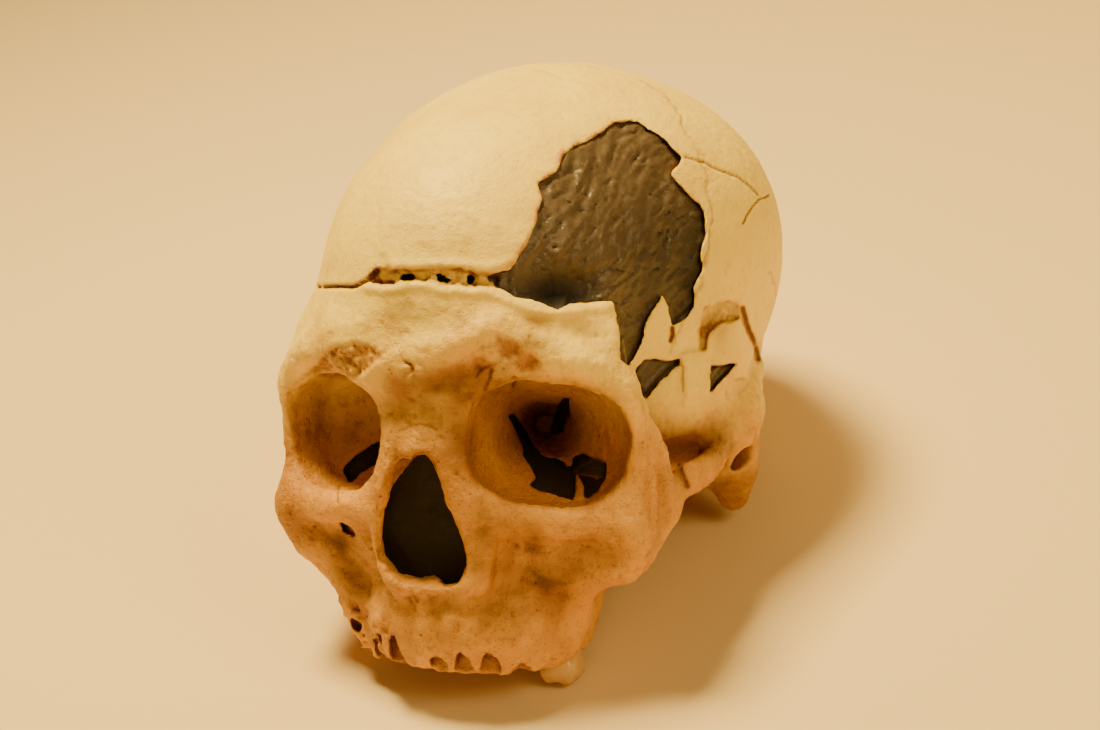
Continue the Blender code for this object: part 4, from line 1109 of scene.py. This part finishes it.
def molar_crown(x, y, z):
    """A low crown with rounded sides that narrows to its neck, with four worn cusps under it."""
    x, y, z = np.broadcast_arrays(x - MOLAR_FOOT[0], y - MOLAR_FOOT[1], z - MOLAR_FOOT[2])
    girth = np.interp(z, (0, 3.5, MOLAR_HEIGHT), (5.2, 5.9, 4.5))
    side = ((np.abs(x) / girth)**3.2 + (np.abs(y) / girth)**3.2)**(1 / 3.2) * girth - girth
    foot = -z - 0.5 * np.cos(x * 0.9) * np.cos(y * 0.9) + 0.25 * grain(x, y, z, 1.7)
    ends = -smooth_minimum(-foot, -(z - MOLAR_HEIGHT), 1.0)
    return -smooth_minimum(-side, -ends, 3.2)


def molar_clay(step):
    clay = Clay((16, -72, -60), (38, -50, -32), step)
    clay.add([(np.array([19, -70, -59]), np.array([34, -54, -46]), molar_crown)], 0)
    clay.add(rod((24.8, -63.5, -49), (24.5, -63, -38), (3.4, 2)), 2)
    clay.add(rod((28.6, -60.5, -49), (28.8, -60, -38), (3.3, 2)), 2)
    return clay


def cut_floor(clay):
    """Takes off what lies under the plane that the skull rests on."""
    _, y, z = clay.axes
    clay.distance = np.maximum(clay.distance, -above_floor(y[None, :, None], z[None, None, :]))


# Materials

class Look:
    """A material's nodes, made by short calls."""

    def __init__(self, name, roughness, specular=0.5):
        self.made = bpy.data.materials.new(name)
        self.made.use_nodes = True
        self.nodes, self.links = self.made.node_tree.nodes, self.made.node_tree.links
        self.shader = self.nodes["Principled BSDF"]
        self.shader.inputs["Roughness"].default_value = roughness
        self.shader.inputs["Specular IOR Level"].default_value = specular
        self.place = self.nodes.new("ShaderNodeTexCoord").outputs["Object"]

    def put(self, socket, value):
        if isinstance(value, tuple):
            socket.default_value = (*value, 1.0) if len(socket.default_value) == 4 else value
        elif isinstance(value, (int, float)):
            socket.default_value = value
        else:
            self.links.new(value, socket)

    def noise(self, scale, detail, rough, place=None):
        node = self.nodes.new("ShaderNodeTexNoise")
        node.inputs["Scale"].default_value = scale
        node.inputs["Detail"].default_value = detail
        node.inputs["Roughness"].default_value = rough
        self.links.new(place or self.place, node.inputs["Vector"])
        return node.outputs["Fac"]

    def cells(self, scale):
        node = self.nodes.new("ShaderNodeTexVoronoi")
        node.inputs["Scale"].default_value = scale
        self.links.new(self.place, node.inputs["Vector"])
        return node.outputs["Distance"]

    def stretched(self, turn, size):
        node = self.nodes.new("ShaderNodeMapping")
        node.inputs["Rotation"].default_value = turn
        node.inputs["Scale"].default_value = size
        self.links.new(self.place, node.inputs["Vector"])
        return node.outputs["Vector"]

    def mask(self, name):
        node = self.nodes.new("ShaderNodeAttribute")
        node.attribute_name = name
        return node.outputs["Fac"]

    def ramp(self, value, low, high, to_low=0.0, to_high=1.0):
        node = self.nodes.new("ShaderNodeMapRange")
        limits = {"From Min": low, "From Max": high, "To Min": to_low, "To Max": to_high}
        for name, number in limits.items():
            node.inputs[name].default_value = number
        self.links.new(value, node.inputs["Value"])
        return node.outputs["Result"]

    def reckon(self, operation, a, b):
        node = self.nodes.new("ShaderNodeMath")
        node.operation = operation
        self.put(node.inputs[0], a)
        self.put(node.inputs[1], b)
        return node.outputs["Value"]

    def mix(self, factor, a, b):
        node = self.nodes.new("ShaderNodeMix")
        node.data_type = "RGBA"
        self.put(node.inputs["Factor"], factor)
        colours = [socket for socket in node.inputs if socket.type == "RGBA"]
        self.put(colours[0], a)
        self.put(colours[1], b)
        return [socket for socket in node.outputs if socket.type == "RGBA"][0]

    def bump(self, height, strength, distance, before=None):
        node = self.nodes.new("ShaderNodeBump")
        self.put(node.inputs["Strength"], strength)
        node.inputs["Distance"].default_value = distance
        self.links.new(height, node.inputs["Height"])
        if before is not None:
            self.links.new(before, node.inputs["Normal"])
        return node.outputs["Normal"]

    def finish(self, colour, normal, roughness=None):
        self.put(self.shader.inputs["Base Color"], colour)
        self.put(self.shader.inputs["Normal"], normal)
        if roughness is not None:
            self.put(self.shader.inputs["Roughness"], roughness)
        return self.made


# Colours of the bone, the resin, the tooth and the floor
# Pale of the vault, with painted top light in it
PALE_AND_TOP_LIGHT = (1.0, 0.74, 0.10)
OCHRE = (0.80, 0.385, 0.042)
TAN = (0.50, 0.205, 0.025)
PINK = (0.55, 0.215, 0.036)
# Dark brown of stains and specks, also used for painted shade
STAIN_AND_SHADE = (0.14, 0.04, 0.004)
CANCELLOUS = (0.36, 0.125, 0.022)
# Dark of pits and cracks, and painted shade in hollows and orbits
RECESS_SHADE_AND_DARK_MARKS = (0.22, 0.06, 0.005)
# Near black of the cracks, and of painted shade in deep holes and orbit depths
DIRT_AND_DEEP_SHADE = (0.075, 0.021, 0.004)
# Orange brown of the resin's rim, also painted shade on sunken surface
RIM_AND_WALL_SHADE = (0.55, 0.22, 0.05)
SUTURE = (0.36, 0.155, 0.05)
RESIN = (0.115, 0.075, 0.045)
RESIN_CLOUD = (0.085, 0.054, 0.031)
RESIN_STROKE = (0.15, 0.10, 0.062)
RESIN_SCRATCH = (0.20, 0.145, 0.095)
# Near black of painted shade on the resin
RESIN_PAINTED_SHADE = (0.004, 0.0025, 0.0015)
ENAMEL = (0.74, 0.47, 0.16)
ENAMEL_CLOUD = (0.52, 0.28, 0.07)
TOOTH_NECK = (0.50, 0.28, 0.09)
FLOOR = (0.86, 0.65, 0.37)


def bone_material():
    look = Look("fossil bone", 0.5, 0.4)
    broad = look.noise(22.0, 4.0, 0.6)
    middle = look.noise(75.0, 6.0, 0.7)
    fine = look.noise(330.0, 5.0, 0.65)
    face = look.mask("face")
    # Pale vault and ochre face: the bone's own tone, with painted light on the vault's top
    colour = look.mix(face, PALE_AND_TOP_LIGHT, OCHRE)
    dots = look.reckon("MULTIPLY", look.ramp(look.cells(300.0), 0.16, 0.1), look.ramp(middle, 0.5, 0.62))
    pits = look.reckon("MULTIPLY", look.ramp(look.cells(640.0), 0.26, 0.12), look.ramp(broad, 0.42, 0.6))
    for spread, on_vault, on_face, tint in (
        (look.ramp(broad, 0.45, 0.68), 0.25, 0.9, TAN),
        (look.ramp(middle, 0.55, 0.72), 0.15, 0.8, PINK),
        (look.ramp(fine, 0.54, 0.7), 0.25, 0.8, TAN),
        (dots, 0.2, 0.85, STAIN_AND_SHADE),
        (pits, 0.08, 0.6, RECESS_SHADE_AND_DARK_MARKS),
    ):
        share = look.reckon("MULTIPLY", spread, look.ramp(face, 0, 1, on_vault, on_face))
        colour = look.mix(share, colour, tint)
    # Orange rim round the resin, and painted shade on sunken surface and pocket walls
    colour = look.mix(look.mask("edge"), colour, RIM_AND_WALL_SHADE)
    grains = look.ramp(look.noise(520.0, 4.0, 0.7), 0.38, 0.6, 0.35, 1.0)
    colour = look.mix(look.reckon("MULTIPLY", look.mask("worn"), grains), colour, CANCELLOUS)
    # Stains, and painted shade under the brow ridges and in shallow hollows
    colour = look.mix(look.mask("stain"), colour, STAIN_AND_SHADE)
    # Painted shade in hollows and creases and deep in the orbits
    colour = look.mix(look.mask("hollow"), colour, RECESS_SHADE_AND_DARK_MARKS)
    colour = look.mix(look.mask("suture"), colour, SUTURE)
    # Dark cracks, and painted shade deep in the orbits, in deep holes and on pocket walls
    colour = look.mix(look.ramp(look.mask("crack"), 0.12, 0.6), colour, RECESS_SHADE_AND_DARK_MARKS)
    colour = look.mix(look.ramp(look.mask("crack"), 0.4, 1.0), colour, DIRT_AND_DEEP_SHADE)
    pores = look.ramp(look.cells(850.0), 0.0, 0.32)
    grit = look.bump(look.noise(1500.0, 2.0, 0.5), 0.35, 0.00012)
    normal = look.bump(fine, look.ramp(face, 0, 1, 0.45, 0.9), 0.001, grit)
    normal = look.bump(pores, look.ramp(face, 0, 1, 0.3, 0.6), 0.0004, normal)
    return look.finish(colour, normal, look.ramp(middle, 0.3, 0.7, 0.42, 0.6))


def resin_material():
    look = Look("dark resin", 0.4, 0.5)
    strokes = look.noise(330.0, 4.0, 0.65, look.stretched((0.3, 0.9, 0.4), (0.45, 1.0, 1.0)))
    cloud = look.noise(60.0, 3.0, 0.6)
    scratch = look.noise(700.0, 2.0, 0.5, look.stretched((0.2, -0.7, 1.0), (0.02, 1.0, 1.0)))
    deep = look.mask("deep")
    colour = look.mix(look.ramp(cloud, 0.3, 0.75), RESIN, RESIN_CLOUD)
    colour = look.mix(look.ramp(strokes, 0.55, 0.8), colour, RESIN_STROKE)
    colour = look.mix(look.ramp(scratch, 0.7, 0.8), colour, RESIN_SCRATCH)
    # Painted shade: the deep mask darkens the resin towards near black
    colour = look.mix(deep, colour, RESIN_PAINTED_SHADE)
    normal = look.bump(strokes, 0.7, 0.0008)
    normal = look.bump(scratch, 0.25, 0.0002, normal)
    satin = look.ramp(strokes, 0.3, 0.7, 0.34, 0.52)
    roughness = look.reckon("MAXIMUM", satin, look.ramp(deep, 0.3, 0.8, 0.3, 0.8))
    return look.finish(colour, normal, roughness)


def tooth_material():
    look = Look("tooth", 0.28)
    cloud = look.noise(160.0, 4.0, 0.6)
    colour = look.mix(look.ramp(cloud, 0.35, 0.7), ENAMEL, ENAMEL_CLOUD)
    colour = look.mix(look.mask("neck"), colour, TOOTH_NECK)
    return look.finish(colour, look.bump(look.noise(700.0, 3.0, 0.5), 0.2, 0.0002))


def add_mask(mesh, name, values):
    layer = mesh.attributes.new(name, "FLOAT", "POINT")
    layer.data.foreach_set("value", np.clip(values, 0, 1).astype(np.float32))


def add_masks(mesh, skin, marks):
    """Where the bone's colours change, point by point, from its shape and place, with painted shade in
    its hollows, deep holes and orbits and painted light on its top.
    """
    places = places_of(mesh)
    normals = skin.outward(places)
    x, y, z = places.T
    _, dark, red, stain, edge, suture = marks.weigh(places, normals)
    wander = grain.layered(x, y, z, 24.0, 3)
    # Ochre lower down and at the front, pale higher up: partly the bone's own tone, partly painted light
    # on the top of the vault
    add_mask(mesh, "face", (45 + 14 * wander - z - 0.35 * (y + 60)) / 36)
    # Painted shade: points with little open space round them, in hollows and creases, and the depths of
    # the orbits round their apex, are darkened
    open_near = skin.at(places + 3.0 * normals) / 3.0
    open_far = skin.at(places + 10.0 * normals) / 10.0
    hollow = np.clip(1 - open_near, 0, 1) * 0.6 + np.clip(0.85 - open_far, 0, 1) * 1.25
    apex = np.stack([np.abs(x), y, z], axis=1) - ORBIT_APEX
    apex = np.linalg.norm(apex, axis=1)
    hollow = hollow + 1.1 * np.exp(-(apex / 17.0)**2)
    add_mask(mesh, "hollow", hollow)
    depth = -skin.at(places)
    # Painted shade: the depths of the orbits round their apex, and deep holes and pocket walls, are
    # darkened like the cracks
    dark = np.maximum(dark, 0.95 * np.exp(-(apex / 9.5)**2))
    add_mask(mesh, "crack", np.maximum(dark, (depth - 2.4) / 1.6))
    add_mask(mesh, "worn", red)
    patches = np.clip(grain.layered(x + 50, y, z, 13.0, 3) - 0.25, 0, 1) * np.clip((30 - z) / 20, 0, 1)
    add_mask(mesh, "stain", 1.25 * stain + 0.45 * patches)
    # The orange rim round the temple's resin, and painted shade where the surface lies below the skin: in
    # dents, holes and on pocket walls
    add_mask(mesh, "edge", np.maximum(edge, 0.8 * np.clip((depth - 0.5) / 0.8, 0, 1)))
    add_mask(mesh, "suture", 0.8 * suture)


# Building

skin = shape_skull(STEP)
wear(skin)
bone = Clay.of(skin.step, skin.axes, skin.distance.copy())
fills = fit_fills(bone)
fills.append(fit_nose_fill(bone))
open_holes(bone)
cut_floor(bone)
skull = clay_object("skull", bone)
marks = Marks()
roughen(skull, marks.weigh(places_of(skull.data), normals_of(skull.data))[0])
bones = part_bones(skull)

REST = rest_matrix()
SHARP = math.radians(42.0)
bone_look, resin_look, tooth_look = bone_material(), resin_material(), tooth_material()


def finish_piece(obj, node, look):
    obj.data.name = obj.name
    obj.data.materials.clear()
    obj.data.materials.append(look)
    obj.data.transform(REST)
    obj.data.shade_smooth()
    obj.data.set_sharp_from_angle(angle=SHARP)
    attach(obj, "root")
    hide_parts(node)


for obj in bones:
    add_masks(obj.data, skin, marks)
    finish_piece(obj, obj.name.removesuffix(LOOK), bone_look)
for name, fill in fills:
    obj = clay_object(name + LOOK, fill)
    right, up, _ = on_plane(*places_of(obj.data).T)
    # Painted shade on the resin: near black in the temple's deep hollow and towards its right side, and
    # in the fills inside the orbits and nose; less in the windows
    if name == "fill_temple":
        deep = 0.95 * spot(right, up, (1.0, 21.0), (13, 7.5))
        shade = 0.5 * np.clip((right - 16) / 12, 0, 1) * np.clip((52 - up) / 14, 0, 1)
        deep = np.maximum(deep, shade + 0.25 * np.clip((right - 38) / 6, 0, 1))
    else:
        deep = (0.35 if "window" in name else 0.9) + 0 * up
    add_mask(obj.data, "deep", deep)
    finish_piece(obj, name, resin_look)
molar = molar_clay(STEP / 2)
cut_floor(molar)
obj = clay_object("molar_left" + LOOK, molar)
add_mask(obj.data, "neck", (places_of(obj.data)[:, 2] + 50.5) / 3)
finish_piece(obj, "molar_left", tooth_look)


# Floor, light and camera

# Name, place, aim, power, size and colour
LIGHTS = [
    ("key", (-0.24, 0.10, 1.02), (0, 0, 0.08), 26.0, 0.28, (1.0, 0.75, 0.27)),
    ("right", (0.75, -0.25, 0.65), (0, 0, 0.08), 4.4, 0.4, (1.0, 0.72, 0.27)),
    ("front", (0.1, -0.95, 0.45), (0, 0, 0.06), 0.9, 0.5, (1.0, 0.72, 0.27)),
]
AMBIENT = (1.0, 0.70, 0.28, 1.0)
AMBIENT_STRENGTH = 0.15
FLOOR_REACH = 3


def area_light(name, place, aim, power, size, colour):
    light = bpy.data.lights.new(name, "AREA")
    light.energy = power
    light.size = size
    light.color = colour
    obj = bpy.data.objects.new(name, light)
    bpy.context.scene.collection.objects.link(obj)
    obj.location = place
    obj.rotation_euler = (Vector(place) - Vector(aim)).to_track_quat("Z", "Y").to_euler()


floor_mesh = bpy.data.meshes.new("floor")
corners = box_outline((-FLOOR_REACH, -FLOOR_REACH), (FLOOR_REACH, FLOOR_REACH))
floor_mesh.from_pydata([(x, y, 0) for x, y in corners], [], [(0, 1, 2, 3)])
floor = placed("floor", floor_mesh)
floor_look = Look("pale floor", 0.85, 0.3)
floor_look.put(floor_look.shader.inputs["Base Color"], FLOOR)
floor_mesh.materials.append(floor_look.made)

world = bpy.data.worlds.new("studio")
bpy.context.scene.world = world
world.use_nodes = True
background = world.node_tree.nodes["Background"]
background.inputs["Color"].default_value = AMBIENT
background.inputs["Strength"].default_value = AMBIENT_STRENGTH
for row in LIGHTS:
    area_light(*row)

camera = bpy.data.cameras.new("camera")
camera.lens = SIGHT_LENS
camera.sensor_width = 36.0
camera.clip_start = 0.01
camera_object = bpy.data.objects.new("camera", camera)
bpy.context.scene.collection.objects.link(camera_object)
sight = Matrix.Identity(4)
for column, axis in enumerate((SIGHT_RIGHT, SIGHT_UP, SIGHT_BACK, SIGHT_EYE)):
    for row in range(3):
        sight[row][column] = axis[row]
carried = rest_matrix() @ sight
turn = carried.to_3x3().normalized().to_4x4()
camera_object.matrix_world = Matrix.Translation(carried.to_translation()) @ turn
bpy.context.scene.camera = camera_object
